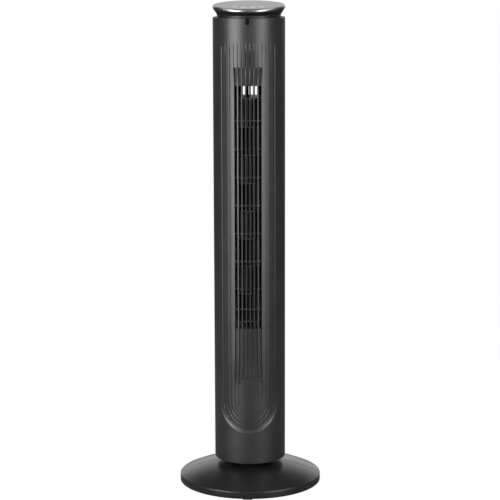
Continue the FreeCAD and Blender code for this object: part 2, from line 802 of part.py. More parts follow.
# ---------------------------------------------------------------- grille insert
# A curved panel behind the slots, open in the middle and crossed by thin bars.
insert_low = "slot_foot_low - insert_margin"
insert_high = "slot_top + insert_margin"
insert_room = box("-insert_half_width", "insert_half_width", f"-{wide}", "0", insert_low, insert_high)
panel = common(ring("insert_outer", "insert_outer - insert_thick", insert_low, insert_high), insert_room)
opening = box("-insert_half_width + insert_frame", "insert_half_width - insert_frame", f"-{wide}", "-10",
              "duct_bottom + opening_lift", "duct_top")
frame = cut(panel, opening)
bar_levels = ["cross_bar_low"]
for row in range(int(sheet.cross_bar_count)):
    bar_levels.append(f"wheel_top - cross_bar_first - {row} * segment_pitch")
bars = []
for height in bar_levels:
    bars.append(ring("insert_outer", "insert_outer - cross_bar_depth", f"{height} - cross_bar_height / 2",
                     f"{height} + cross_bar_height / 2"))
bar_set = common(fuse(*bars), insert_room)
node(fuse(frame, bar_set), "grille_insert")

# ---------------------------------------------------------------- blower wheel
on_wheel = ("wheel_x", "wheel_y")


def blade_face(angle):
    """Curved blade section from the inner to the outer edge of the wheel."""
    outer = sheet.wheel_radius - sheet.blade_inset
    inner = outer - sheet.blade_depth
    sweep = math.radians(sheet.blade_sweep)
    turn = math.radians(angle)

    def spot(radius, lag, side):
        point = Vector(radius * math.cos(turn + lag), radius * math.sin(turn + lag), 0)
        across = Vector(-math.sin(turn + lag), math.cos(turn + lag), 0)
        return point + across * side

    mid = (outer + inner) / 2
    half = sheet.blade_thick / 2
    bow = sheet.blade_camber
    sides = []
    for side in (half, -half):
        arc = Part.Arc(spot(inner, 0, side), spot(mid, sweep / 2, side + bow), spot(outer, sweep, side))
        sides.append(arc.toShape())
    left, right = sides
    inner_end = Part.LineSegment(spot(inner, 0, half), spot(inner, 0, -half)).toShape()
    outer_end = Part.LineSegment(spot(outer, sweep, half), spot(outer, sweep, -half)).toShape()
    return Part.Face(Part.Wire([left, outer_end, right, inner_end]))


def segment_shape():
    disc = Part.makeCylinder(sheet.wheel_radius, sheet.segment_disc)
    hole = Part.makeCylinder(sheet.wheel_radius - sheet.segment_rim, sheet.segment_disc)
    rim = disc.cut(hole)
    blades = []
    for number in range(int(sheet.blade_count)):
        face = blade_face(360.0 / sheet.blade_count * number)
        blade = face.extrude(Vector(0, 0, sheet.segment_pitch - sheet.segment_disc / 2))
        blade.translate(Vector(0, 0, sheet.segment_disc / 2))
        blades.append(blade)
    joined = rim.multiFuse(blades)
    tip = Part.makeCylinder(sheet.wheel_radius * 2, sheet.segment_pitch)
    return joined.common(tip)


segment = segment_shape()
for number in range(int(sheet.wheel_segments)):
    part = solid(segment, f"Segment{number + 1}")
    half_step = 180.0 / sheet.blade_count * number
    part.Placement = Placement(Vector(0, 0, 0), Rotation(Vector(0, 0, 1), half_step))
    place(part, *on_wheel, f"wheel_bottom + {number} * segment_pitch")
    node(part, f"wheel_segment_{number + 1}")

top_disc = cylinder("wheel_radius", "wheel_top - segment_disc", "wheel_top", *on_wheel)
top_boss = cylinder("shaft_radius + wheel_boss_wall", "wheel_top - wheel_boss_drop",
                    "wheel_top + wheel_boss_rise", *on_wheel)
top_shaft = cylinder("shaft_radius", "wheel_top", "duct_top + plate_thick + bush_height + shaft_over",
                     *on_wheel)
node(fuse(top_disc, top_boss, top_shaft), "wheel_top_disc")
hub_plate = ring("wheel_radius - segment_rim", "coupling_radius", "wheel_bottom",
                 "wheel_bottom + segment_disc", *on_wheel)
hub_sleeve = ring("coupling_radius + hub_sleeve_wall", "coupling_radius", "wheel_bottom",
                  "wheel_bottom + coupling_height", *on_wheel)
node(fuse(hub_plate, hub_sleeve), "wheel_hub")
coupling = ring("coupling_radius", "motor_shaft_radius", "wheel_bottom", "wheel_bottom + coupling_height",
                *on_wheel)
node(coupling, "rubber_coupling")

# ---------------------------------------------------------------- air duct

def wall_along(path, thick):
    """Face of a thin wall whose middle line runs smoothly through the path."""
    curve = Part.BSplineCurve()
    curve.interpolate(path)
    steps = 24
    left, right = [], []
    for k in range(steps + 1):
        at = curve.FirstParameter + (curve.LastParameter - curve.FirstParameter) * k / steps
        point = curve.value(at)
        along = curve.tangent(at)[0]
        across = Vector(-along.y, along.x, 0) * (thick / 2)
        left.append(point + across)
        right.append(point - across)
    side_a = Part.BSplineCurve()
    side_a.interpolate(left)
    side_b = Part.BSplineCurve()
    side_b.interpolate(right)
    outline = [side_a.toShape(), side_b.toShape()]
    for k in (0, -1):
        outline.append(Part.LineSegment(left[k], right[k]).toShape())
    return Part.Face(Part.Wire(Part.__sortEdges__(outline)))


def around_wheel(radius, degrees):
    turn = math.radians(degrees)
    return Vector(sheet.wheel_x + radius * math.cos(turn), sheet.wheel_y + radius * math.sin(turn), 0)


duct_height = levels.duct_top - levels.duct_bottom
near = sheet.wheel_radius + sheet.duct_gap
mouth = Vector(sheet.outlet_shift + sheet.outlet_half, -sheet.outlet_plane, 0)
mouth_arm = mouth - Vector(sheet.wheel_x, sheet.wheel_y, 0)
mouth_radius = mouth_arm.Length
mouth_angle = math.degrees(math.atan2(mouth_arm.y, mouth_arm.x))
scroll_steps = 8
scroll_path = []
for step in range(scroll_steps + 1):
    share = step / scroll_steps
    degrees = mouth_angle + (sheet.scroll_end - mouth_angle) * share
    scroll_path.append(around_wheel(mouth_radius + (near - mouth_radius) * share, degrees))
scroll = solid(wall_along(scroll_path, sheet.duct_wall).extrude(Vector(0, 0, duct_height)), "Scroll")
node(place(scroll, "0", "0", "duct_bottom"), "scroll_plate")

tongue_mouth = Vector(sheet.outlet_shift - sheet.outlet_half, -sheet.outlet_plane, 0)
nose = around_wheel(near + sheet.tongue_nose_gap, sheet.tongue_end)
tail = around_wheel(near + sheet.tongue_tail_gap, (sheet.tongue_start + sheet.tongue_end) / 2)
tongue_path = [tongue_mouth, tongue_mouth * 0.45 + nose * 0.55 + Vector(-1.5, 0, 0), nose, tail]
tongue = solid(wall_along(tongue_path, sheet.duct_wall).extrude(Vector(0, 0, duct_height)), "Tongue")
node(place(tongue, "0", "0", "duct_bottom"), "tongue_plate")

# Upper plate: closes the duct, holds the top bearing and a shroud round the wheel's end.
screw_keep = []
for side in ("boss_across", "-boss_across"):
    screw_keep.append(box(f"{side} - boss_outer - 0.5", f"{side} + boss_outer + 0.5",
                          "shell_seam - boss_length - 1", wide, "0", tall))


def insert_notch(low, high):
    """Room for the grille insert at the front edge of a plate."""
    keep = "insert_outer - cross_bar_depth - insert_room"
    outside = ring("column_radius + 5", keep, f"{low} - 2", f"{high} + 2")
    front = box("-insert_half_width - insert_room", "insert_half_width + insert_room", f"-{wide}", "-20",
                f"{low} - 2", f"{high} + 2")
    return common(outside, front)


plate_top = "duct_top + plate_thick"
upper_disc = cylinder("fit_radius", "duct_top", plate_top)
seat_radius = "shaft_radius + bush_wall + holder_wall"
cup = cylinder(f"{seat_radius} + bearing_cup_wall", "duct_top", f"{plate_top} + holder_height", *on_wheel)
shroud_inner = "wheel_radius + shroud_gap"
shroud_outer = f"{shroud_inner} + duct_wall"
shroud_full = ring(shroud_outer, shroud_inner, "duct_top - shroud_height", "duct_top + 0.5", *on_wheel)
shroud_low = ring(shroud_outer, shroud_inner, "wheel_top + shroud_clear", "duct_top + 0.5", *on_wheel)


def wedge(start, end):
    """A pie slice about the wheel's axis, wider than the column."""
    far = 4 * sheet.column_radius
    centre = Vector(sheet.wheel_x, sheet.wheel_y, 0)
    rim = [around_wheel(far, start + (end - start) * k / 4) for k in range(5)]
    face = Part.Face(Part.makePolygon([centre] + rim + [centre]))
    return solid(face.extrude(Vector(0, 0, levels.column_top)), "Wedge")


shroud_left = common(shroud_full, wedge(sheet.shroud_rear_left, sheet.shroud_step))
shroud_side = common(shroud_low, wedge(sheet.shroud_step, sheet.shroud_front_left))
seat_bottom = "duct_top + bearing_lift"
bearing_seat = cylinder(seat_radius, seat_bottom, f"{plate_top} + holder_height + 1", *on_wheel)
shaft_way = cylinder("shaft_radius + shaft_way", "duct_top - 1", f"{plate_top} + 2", *on_wheel)
upper_whole = fuse(upper_disc, cup, shroud_left, shroud_side)
upper_notch = insert_notch("duct_top", plate_top)
node(cut(upper_whole, bearing_seat, shaft_way, upper_notch, *screw_keep), "upper_plate")
holder = ring(seat_radius, "shaft_radius + bush_wall", seat_bottom, f"{seat_bottom} + holder_height",
              *on_wheel)
node(holder, "bearing_rubber")
bush = ring("shaft_radius + bush_wall", "shaft_radius + shaft_play", seat_bottom,
            f"{seat_bottom} + bush_height", *on_wheel)
node(bush, "upper_bush")

# Lower plate: floor of the duct, with posts that the motor hangs from.
lower_bottom = "duct_bottom - plate_thick"
lower_disc = cylinder("fit_radius", lower_bottom, "duct_bottom")
mount_spots = []
for number in range(int(sheet.mount_count)):
    x, y = polar("mount_circle", 45 + 360 / sheet.mount_count * number)
    mount_spots.append((f"wheel_x + {x}", f"wheel_y + {y}"))
ear_bottom = "motor_top - mount_ear_thick"
posts = []
post_pilots = []
for x, y in mount_spots:
    posts.append(cylinder("mount_post_radius", "motor_top + rubber_upper", f"{lower_bottom} + 0.5", x, y))
    post_pilots.append(cylinder("mount_screw_radius", "motor_top + rubber_upper - 1", f"{lower_bottom} + 1",
                                x, y))
motor_way = cylinder("coupling_radius + motor_way", f"{lower_bottom} - 1", "duct_bottom + 1", *on_wheel)
lower_notch = insert_notch(lower_bottom, "duct_bottom")
lower_whole = fuse(lower_disc, *posts)
node(cut(lower_whole, motor_way, lower_notch, *post_pilots, *screw_keep), "lower_plate")

# ---------------------------------------------------------------- blower motor
ears = []
ear_holes = []
rubbers = []
motor_screws = []
rubber_bottom = f"{ear_bottom} - rubber_lower"
neck_radius = "mount_radius - rubber_step"
for x, y in mount_spots:
    ears.append(cylinder("mount_radius + mount_ear_margin", ear_bottom, "motor_top", x, y))
    ear_holes.append(cylinder(neck_radius, f"{ear_bottom} - 1", "motor_top + 1", x, y))
    sleeve = cylinder(neck_radius, ear_bottom, "motor_top", x, y)
    upper = cylinder("mount_radius", "motor_top", "motor_top + rubber_upper", x, y)
    lower = cylinder("mount_radius", rubber_bottom, ear_bottom, x, y)
    hole = cylinder("mount_screw_radius", f"{rubber_bottom} - 1", "motor_top + rubber_upper + 1", x, y)
    rubbers.append(cut(fuse(sleeve, upper, lower), hole))
    shank = cylinder("mount_screw_radius", f"{rubber_bottom} - 0.5", "motor_top + mount_screw_bite", x, y)
    head = cylinder("mount_screw_head", f"{rubber_bottom} - mount_screw_head_height", rubber_bottom, x, y)
    motor_screws.append(fuse(shank, head))

cover_inner = "motor_radius - motor_cover_wall"
bush_radius = "motor_shaft_radius + motor_bush_wall"
bore_radius = "motor_shaft_radius + shaft_play"
top_cup = cut(cylinder("motor_radius", "stator_top", "motor_top", *on_wheel),
              cylinder(cover_inner, "stator_top - 1", "motor_top - motor_cover_wall", *on_wheel))
top_bush = cylinder(bush_radius, "motor_top - motor_bush_height", "motor_top + motor_bush_lip", *on_wheel)
top_bore = cylinder(bore_radius, "stator_top - 2", "motor_top + motor_bush_lip + 1", *on_wheel)
node(cut(fuse(top_cup, top_bush, *ears), top_bore, *ear_holes), "motor_top_cover")
bottom_cup = cut(cylinder("motor_radius", "motor_bottom", "stator_bottom", *on_wheel),
                 cylinder(cover_inner, "motor_bottom + motor_cover_wall", "stator_bottom + 1", *on_wheel))
bottom_bush = cylinder(bush_radius, "motor_bottom - motor_bush_lip", "motor_bottom + motor_bush_height",
                       *on_wheel)
bottom_bore = cylinder(bore_radius, "motor_bottom - motor_bush_lip - 1", "stator_bottom + 2", *on_wheel)
node(cut(fuse(bottom_cup, bottom_bush), bottom_bore), "motor_bottom_cover")
node(bundle(rubbers, "MotorRubbers"), "motor_rubbers")
node(bundle(motor_screws, "MotorScrews"), "motor_screws")

stator_ring = ring("motor_radius", "rotor_radius + stator_web", "stator_bottom", "stator_top", *on_wheel)
poles = []
for number in range(int(sheet.pole_count)):
    pole = box("rotor_radius - pole_reach", "motor_radius - pole_reach", "-pole_half", "pole_half",
               "stator_bottom", "stator_top")
    angle = 360 / sheet.pole_count * (number + 0.5)
    poles.append(place(swung(pole, angle), *on_wheel, "0"))
stator_bore = cylinder("rotor_radius + rotor_gap", "stator_bottom - 1", "stator_top + 1", *on_wheel)
node(cut(fuse(stator_ring, *poles), stator_bore), "motor_stator")
rotor_core = cylinder("rotor_radius", "stator_bottom", "stator_top", *on_wheel)
rotor_shaft = cylinder("motor_shaft_radius", "motor_bottom - rotor_tail", "wheel_bottom + coupling_height",
                       *on_wheel)
node(fuse(rotor_core, rotor_shaft), "motor_rotor")

# ---------------------------------------------------------------- electrics
board_low = "shell_bottom + board_rise"
board_high = f"{board_low} + board_height"
board_front = "board_back - board_thick"
board = box("-board_width / 2", "board_width / 2", board_front, "board_back", board_low, board_high)
# Left, right, depth, bottom and top of the transformer, the relay and the connector.
components = ((-30, -8, 18, 8, 30), (2, 18, 12, 10, 26), (-26, 26, 8, 72, 82))
parts_on_board = []
for left, right, deep, low, high in components:
    parts_on_board.append(box(left, right, f"{board_front} - {deep}", board_front,
                              f"{board_low} + {low}", f"{board_low} + {high}"))
node(fuse(board, *parts_on_board), "main_board")
rails = []
for side in ("-board_width / 2", "board_width / 2 - board_rail"):
    rails.append(box(side, f"{side} + board_rail", "board_back", wide, board_low, board_high))
node(common(fuse(*rails), cylinder("shell_inner", "0", tall)), "board_rails")
capacitor_low = f"{board_high} + capacitor_lift"
capacitor_back = "shell_inner - capacitor_gap"
capacitor = box("-capacitor_width / 2", "capacitor_width / 2", f"{capacitor_back} - capacitor_depth",
                capacitor_back, capacitor_low, f"{capacitor_low} + capacitor_height")
tab = box("-tab_half", "tab_half", f"{capacitor_back} - 1", wide, capacitor_low,
          f"{capacitor_low} + tab_height")
node(fuse(capacitor, common(tab, cylinder("shell_inner", "0", tall))), "motor_capacitor")
gland_front = "column_radius + gland_flange_thick - gland_length"
gland_body = rod("gland_radius", "0", gland_z, gland_front, "gland_length")
gland_lip = rod("gland_flange", "0", gland_z, "column_radius", "gland_flange_thick")
gland_bore = rod("cord_hole", "0", gland_z, f"{gland_front} - 1", "gland_length + 2")
node(cut(fuse(gland_body, gland_lip), gland_bore), "cord_gland")

# ---------------------------------------------------------------- control head

def circle_at(radius, z, tilt):
    item = doc.addObject("Part::Circle", "Circle")
    bind(item, "Radius", radius)
    item.Placement = Placement(Vector(0, 0, 0), Rotation(Vector(1, 0, 0), 1.0))
    bind(item, "Placement.Rotation.Angle", tilt)
    return place(item, "0", "0", z)


def loft(low, high):
    item = doc.addObject("Part::Loft", "Loft")
    item.Sections = [low, high]
    item.Solid = True
    item.Ruled = True
    return item


ledge_top = "column_top + ledge_rise + ledge_height"
flange_high = "column_top - neck_flange_sink"
flange_low = f"{flange_high} - neck_flange_thick"
neck_foot = turned([
    ("neck_foot_radius - neck_wall", flange_low),
    ("fit_radius", flange_low),
    ("fit_radius", flange_high),
    ("neck_foot_radius", flange_high),
    ("neck_foot_radius", "column_top + ledge_rise"),
    ("neck_foot_radius + ledge_width", "column_top + ledge_rise"),
    ("neck_foot_radius + ledge_width", ledge_top),
    ("neck_foot_radius - neck_wall", ledge_top),
], "NeckFoot")
window_notch = box("-window_width / 2 - 2", "window_width / 2 + 2", f"-{wide}",
                   "-neck_foot_radius - 1.5", f"{flange_low} - 1", f"{flange_high} + 1")
neck_outer = loft(circle_at("neck_foot_radius", ledge_top, "0"),
                  circle_at("neck_top_radius", "neck_top", "disc_tilt"))
neck_room = loft(circle_at("neck_foot_radius - neck_wall", ledge_top, "0"),
                 circle_at("neck_top_radius - neck_wall", "neck_top", "disc_tilt"))
neck_whole = doc.addObject("Part::Fuse", "NeckWhole")
neck_whole.Base = cut(neck_foot, window_notch)
neck_whole.Tool = cut(neck_outer, neck_room)
node(neck_whole, "top_neck")


def tilt_with_disc(item):
    item.Placement = Placement(Vector(0, 0, 0), Rotation(Vector(1, 0, 0), 1.0))
    bind(item, "Placement.Rotation.Angle", "disc_tilt")
    return place(item, "0", "0", "neck_top")


disc_blank = cylinder("disc_radius", "0", "disc_thick")
disc_rounded = doc.addObject("Part::Fillet", "DiscRound")
disc_rounded.Base = disc_blank
doc.recompute()
edge_rounds = []
for k, edge in enumerate(disc_blank.Shape.Edges, start=1):
    if edge.BoundBox.ZLength > 0.1:
        continue
    size = sheet.disc_round if edge.BoundBox.ZMax > sheet.disc_thick / 2 else sheet.disc_edge
    edge_rounds.append((k, size, size))
disc_rounded.Edges = edge_rounds
disc_recess = cylinder("neck_top_radius - neck_wall - 1", "-1", "disc_thick - disc_skin")
button_holes = []
button_places = []
for number in range(int(sheet.button_count)):
    angle = 270 + (number - (sheet.button_count - 1) / 2) * sheet.button_step
    x, y = polar("button_circle", angle)
    button_places.append((x, y))
    button_holes.append(cylinder("button_radius + button_gap", "0", "disc_thick + 1", x, y))
disc_shell = cut(disc_rounded, disc_recess, *button_holes)
skin_low = "disc_thick - disc_skin"
posts = []
for number in range(int(sheet.board_post_count)):
    x, y = polar("board_disc_radius - board_post_inset", 360 / sheet.board_post_count * number)
    posts.append(cylinder("board_post_radius", "-board_disc_drop", f"{skin_low} + 0.5", x, y))
node(tilt_with_disc(fuse(disc_shell, *posts)), "control_disc")

flange_up = f"{skin_low} - button_gap"
flange_down = f"{flange_up} - button_flange_thick"
for number, (x, y) in enumerate(button_places, start=1):
    cap = cylinder("button_radius", flange_down, "disc_thick + button_proud", x, y)
    flange = cylinder("button_radius + button_flange", flange_down, flange_up, x, y)
    stem = cylinder("button_stem", "button_travel + switch_play", f"{flange_down} + 0.1", x, y)
    node(tilt_with_disc(fuse(cap, flange, stem)), f"button_{number}")

plate = cylinder("board_disc_radius", "-board_disc_drop - board_thick", "-board_disc_drop")
switches = []
for x, y in button_places:
    switches.append(box(f"{x} - switch_half", f"{x} + switch_half", f"{y} - switch_half",
                        f"{y} + switch_half", "-board_disc_drop - 0.1", "-board_disc_drop + switch_height"))
node(tilt_with_disc(fuse(plate, *switches)), "control_board")

# ---------------------------------------------------------------- write
doc.recompute()
broken = [item.Label for item in doc.Objects if "Invalid" in item.State or "Error" in item.State]
if broken:
    raise RuntimeError("these objects failed: " + ", ".join(broken))
labels = [item.Label for item in nodes]
if len(set(labels)) != len(labels):
    raise RuntimeError("two nodes share a label")
os.makedirs("parts", exist_ok=True)
for item in nodes:
    if item.Shape.isNull() or not item.Shape.isValid() or not item.Shape.Solids:
        raise RuntimeError("bad shape: " + item.Label)
for item in nodes:
    item.Shape.exportStep(f"parts/{item.Label}.step")
print(len(nodes), "nodes")
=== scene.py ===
import json
import math
import bmesh
import bpy
import numpy as np
from mathutils import Euler, Matrix, Vector


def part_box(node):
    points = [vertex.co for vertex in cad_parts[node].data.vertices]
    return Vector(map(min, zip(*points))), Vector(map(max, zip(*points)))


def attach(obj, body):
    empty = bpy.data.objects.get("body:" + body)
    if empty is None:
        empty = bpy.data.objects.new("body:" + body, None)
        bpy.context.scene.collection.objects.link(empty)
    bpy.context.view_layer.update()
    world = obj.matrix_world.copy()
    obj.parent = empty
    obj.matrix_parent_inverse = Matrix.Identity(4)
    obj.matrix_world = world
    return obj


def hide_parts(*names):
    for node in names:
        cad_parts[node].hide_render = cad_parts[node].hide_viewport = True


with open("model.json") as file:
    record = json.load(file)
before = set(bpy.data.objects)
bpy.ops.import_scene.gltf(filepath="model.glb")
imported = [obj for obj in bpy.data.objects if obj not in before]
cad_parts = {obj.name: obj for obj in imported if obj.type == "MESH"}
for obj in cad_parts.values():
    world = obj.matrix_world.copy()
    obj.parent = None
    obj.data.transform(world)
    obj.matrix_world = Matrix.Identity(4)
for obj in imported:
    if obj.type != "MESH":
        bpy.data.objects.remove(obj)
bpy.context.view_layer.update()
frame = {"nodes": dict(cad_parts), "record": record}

# ------------------------------------------------------------------ camera
# A long lens a little above the fan's top, looking ten degrees down, with the fan turned
# slightly to the viewer's left.
view_turn = math.radians(2.2)
view_down = math.radians(10.02)
view_roll = math.radians(-0.174)
view_distance = 3.7582
view_height = 1.16666
scene = bpy.context.scene
lens = bpy.data.cameras.new("Camera")
lens.sensor_width = 36.0
lens.lens = 130.2
lens.clip_end = 60.0
lens.shift_x = 0.0009
camera = bpy.data.objects.new("Camera", lens)
scene.collection.objects.link(camera)
stand = Vector((view_distance * math.sin(view_turn), -view_distance * math.cos(view_turn),
                view_height))
aim = Euler((math.pi / 2 - view_down, 0, view_turn)).to_matrix()
aim = aim @ Matrix.Rotation(view_roll, 3, "Z")
camera.matrix_world = Matrix.Translation(stand) @ aim.to_4x4()
scene.camera = camera


# ------------------------------------------------------------------ studio
# White surroundings, brighter low behind the fan, with two tall soft boxes in front of it,
# three smaller ones higher up and a pale floor.
class Wire:
    """A value on its way through a material's nodes; sums on it add nodes."""

    def __init__(self, tree, socket=None):
        self.tree = tree
        self.socket = socket

    def node(self, kind, settings, inputs, out=0):
        """A node: its type, its settings, then the values or links of its sockets."""
        step = self.tree.nodes.new(kind)
        for key, value in settings.items():
            setattr(step, key, value)
        for key, value in inputs.items():
            if isinstance(value, Wire):
                self.tree.links.new(value.socket, step.inputs[key])
            else:
                step.inputs[key].default_value = value
        return Wire(self.tree, step.outputs[out])

    def sum(self, how, first, second):
        """A Math node on two values."""
        return self.node("ShaderNodeMath", {"operation": how}, {0: first, 1: second})

    def __add__(self, other):
        return self.sum("ADD", self, other)

    def __radd__(self, other):
        return self.sum("ADD", other, self)

    def __sub__(self, other):
        return self.sum("SUBTRACT", self, other)

    def __rsub__(self, other):
        return self.sum("SUBTRACT", other, self)

    def __mul__(self, other):
        return self.sum("MULTIPLY", self, other)

    def __rmul__(self, other):
        return self.sum("MULTIPLY", other, self)

    def rise(self, low, high):
        """0 below low, 1 above high, smooth between."""
        return self.node("ShaderNodeMapRange", {"interpolation_type": "SMOOTHSTEP"},
                         {"Value": self, "From Min": low, "From Max": high})

    def into(self, step, name):
        """The value's link to a node's socket."""
        self.tree.links.new(self.socket, step.inputs[name])


scene.view_settings.view_transform = "Standard"
all_round, low_behind, overhead = 0.09, 1.7, 0.3
world = bpy.data.worlds.new("Studio")
scene.world = world
world.use_nodes = True
world.node_tree.nodes.clear()
air = Wire(world.node_tree)
heading = air.node("ShaderNodeTexCoord", {}, {}, out="Generated")
back = air.node("ShaderNodeSeparateXYZ", {}, {0: heading}, out="Y")
up = air.node("ShaderNodeSeparateXYZ", {}, {0: heading}, out="Z")
behind = back.rise(0.6, 0.97) * (1 - up.rise(0.3, 0.65))
glow = all_round + behind * low_behind + up.rise(0.8, 1.0) * overhead
dim = air.node("ShaderNodeBackground", {}, {"Strength": glow})
white = air.node("ShaderNodeBackground", {}, {"Color": (1, 1, 1, 1), "Strength": 1.0})
seen = air.node("ShaderNodeLightPath", {}, {}, out="Is Camera Ray")
sky = air.node("ShaderNodeMixShader", {}, {0: seen, 1: dim, 2: white})
sky.into(world.node_tree.nodes.new("ShaderNodeOutputWorld"), "Surface")


def soft_box(name, at, target, size, power):
    """A lit panel that faces its target and isn't seen itself."""
    panel = bpy.data.lights.new(name, "AREA")
    panel.shape = "RECTANGLE"
    panel.size, panel.size_y = size
    panel.energy = power
    lamp = bpy.data.objects.new(name, panel)
    scene.collection.objects.link(lamp)
    facing = (Vector(target) - Vector(at)).to_track_quat("-Z", "Y").to_matrix()
    lamp.matrix_world = Matrix.Translation(at) @ facing.to_4x4()
    lamp.visible_camera = False


soft_box("LeftBox", (-1.5, -1.6, 0.8), (0, 0, 0.7), (1.35, 1.5), 60)
soft_box("RightBox", (1.48, -1.62, 0.8), (0, 0, 0.7), (1.15, 1.5), 36)
soft_box("HighLeftBox", (-1.75, -0.5, 2.54), (0, 0, 1.0), (1.5, 1.0), 26)
soft_box("HighRightBox", (1.75, -0.5, 2.54), (0, 0, 1.0), (1.5, 1.0), 30)
soft_box("FrontTopBox", (0.1, -2.2, 1.95), (0, 0, 0.2), (2.0, 0.6), 8)

floor_half = 40.0
floor_grey, floor_shine, floor_white = 0.2, 1.08, 0.92
floor_mesh = bpy.data.meshes.new("Floor")
floor_corners = [(-floor_half, -floor_half, 0), (floor_half, -floor_half, 0),
                 (floor_half, floor_half, 0), (-floor_half, floor_half, 0)]
floor_mesh.from_pydata(floor_corners, [], [(0, 1, 2, 3)])
floor = bpy.data.objects.new("Floor", floor_mesh)
scene.collection.objects.link(floor)
pale = bpy.data.materials.new("PaleFloor")
pale.use_nodes = True
pale.node_tree.nodes.clear()
ground = Wire(pale.node_tree)
lit = ground.node("ShaderNodeBsdfDiffuse", {}, {"Color": (floor_grey, floor_grey, floor_grey, 1)})
flat_white = ground.node("ShaderNodeEmission", {}, {"Strength": floor_shine})
seen = ground.node("ShaderNodeLightPath", {}, {}, out="Is Camera Ray")
top_coat = ground.node("ShaderNodeMixShader", {}, {0: seen * floor_white, 1: lit, 2: flat_white})
top_coat.into(pale.node_tree.nodes.new("ShaderNodeOutputMaterial"), "Surface")
floor_mesh.materials.append(pale)


# ------------------------------------------------------------------ front shell
# The front half of the column, one moulding in charcoal plastic with a fine grain, screwed to
# the rear half from behind.  Fine grooves run down its panel and round the panel's sunk foot,
# and seven slots between them let the air out.
pitch, bar = 8.36, 2.4
groove_half, groove_depth, crest_drop = 0.82, 0.95, 0.04
panel_half, panel_depth, bevel = 7.5 * pitch, 1.8, 4.5
panel_centre = 186.4
sunk_below, flush_above = panel_centre + 10, panel_centre + 110
arc_gone, arc_full, arc_least = 1.9 * pitch, 3.1 * pitch, 0.22
slot_field = 3.6 * pitch
round_low, round_high, round_step = 120, 204, 0.9
slot_feet = {0: 246.3, 1: 242.3, 2: 230.4, 3: 230.4}
slot_head = 892.3
reeds_full, reeds_gone = 912.0, 954.0
wall, wall_least = 2.5, 1.4
window_drop = 13.8
lip = 0.7
lip_steps = [1.0, 0.6, 0.3, 0.1, 0.0]
turn_step = 0.045
fold_edge = math.radians(38)


def corners(node):
    """Lowest and highest corner of a node, in millimetres."""
    low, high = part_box(node)
    return low * 1000, high * 1000


def ease(value, low, high):
    """0 below low, 1 above high, smooth between."""
    share = np.clip((value - low) / (high - low), 0, 1)
    return share * share * (3 - 2 * share)


def edge_round(distance, radius):
    """How far a rounded edge falls back at a distance from its end."""
    left = np.clip(radius - distance, 0, radius)
    return radius - np.sqrt(radius ** 2 - left ** 2)


def make_piece(name, points, faces):
    """A mesh piece from points in millimetres, its faces turned outwards."""
    mesh = bpy.data.meshes.new(name)
    mesh.from_pydata([tuple(p) for p in np.asarray(points) * 0.001], [], faces)
    form = bmesh.new()
    form.from_mesh(mesh)
    bmesh.ops.remove_doubles(form, verts=form.verts, dist=1e-7)
    bmesh.ops.recalc_face_normals(form, faces=form.faces)
    form.to_mesh(mesh)
    form.free()
    mesh.shade_smooth()
    mesh.set_sharp_from_angle(angle=fold_edge)
    piece = bpy.data.objects.new(name, mesh)
    scene.collection.objects.link(piece)
    return piece


def sheet_piece(name, outer, inner, keep):
    """A closed wall between two grids of points; where keep is False it is open."""
    rows, cols = outer.shape[:2]
    under = rows * cols
    faces = []
    for r in range(rows - 1):
        for c in range(cols - 1):
            if not keep[r, c]:
                continue
            a, b = r * cols + c, r * cols + c + 1
            d, e = b + cols, a + cols
            faces.append((a, b, d, e))
            faces.append((e + under, d + under, b + under, a + under))
            if r == 0 or not keep[r - 1, c]:
                faces.append((b, a, a + under, b + under))
            if r == rows - 2 or not keep[r + 1, c]:
                faces.append((e, d, d + under, e + under))
            if c == 0 or not keep[r, c - 1]:
                faces.append((a, e, e + under, a + under))
            if c == cols - 2 or not keep[r, c + 1]:
                faces.append((d, b, b + under, d + under))
    points = np.concatenate([outer.reshape(-1, 3), inner.reshape(-1, 3)])
    return make_piece(name, points, faces)


def spread(start, end, step):
    """Even values from start to end, about a step apart, without the end."""
    count = max(1, round(abs(end - start) / step))
    return [start + (end - start) * k / count for k in range(count)]


shell_low, shell_high = corners("front_shell")
column_radius, shell_bottom, shell_top = shell_high.x, shell_low.z, shell_high.z
seam_angle = math.acos(-shell_high.y / column_radius)
slot_half = (pitch - bar) / 2
across = []
for rib in range(-7, 8):
    across += [rib * pitch + slot_half * share for share in (-1, -2 / 3, -1 / 3, 0, 1 / 3, 2 / 3)]
    across += [rib * pitch + slot_half + bar * k / 6 for k in range(6)]
across = [x for x in across if abs(x) < panel_half + 1]
turns = [math.asin(x / column_radius) for x in across]
side = spread(max(turns), seam_angle - lip / column_radius, turn_step)[1:]
side += [seam_angle - lip * step / column_radius for step in lip_steps]
turns = np.array([-turn for turn in reversed(side)] + turns + side)
window_half = pitch / 2
window_low = shell_top - window_drop + window_half
squeeze_low = window_low - 3 * window_half
levels = [shell_bottom + lip * step for step in reversed(lip_steps)]
levels += spread(shell_bottom + 2, round_low, 12) + spread(round_low, round_high, round_step)
levels += spread(round_high, slot_feet[3], 3)
levels += [slot_feet[3], 234, 238, slot_feet[1]] + spread(slot_feet[0], slot_head, 24)
levels += spread(slot_head, reeds_gone + 3, 1.5) + spread(reeds_gone + 3, squeeze_low, 5)
levels += spread(squeeze_low, window_low, 1.5) + spread(window_low, shell_top - lip, 3)
levels = np.array(levels + [shell_top - lip * step for step in lip_steps])
turn_grid, level_grid = np.meshgrid(turns, levels)
x_grid = column_radius * np.sin(turn_grid)
arch = np.where(np.abs(x_grid) < window_half,
                -np.sqrt(np.clip(window_half ** 2 - x_grid ** 2, 0, None)), 0.0)
in_squeeze = (level_grid >= squeeze_low) & (level_grid <= window_low)
share_up = (level_grid - squeeze_low) / (window_low - squeeze_low)
height = np.where(in_squeeze, level_grid + arch * share_up, level_grid)
below = np.minimum(height - panel_centre, 0)
ring_radius = np.hypot(x_grid, below)
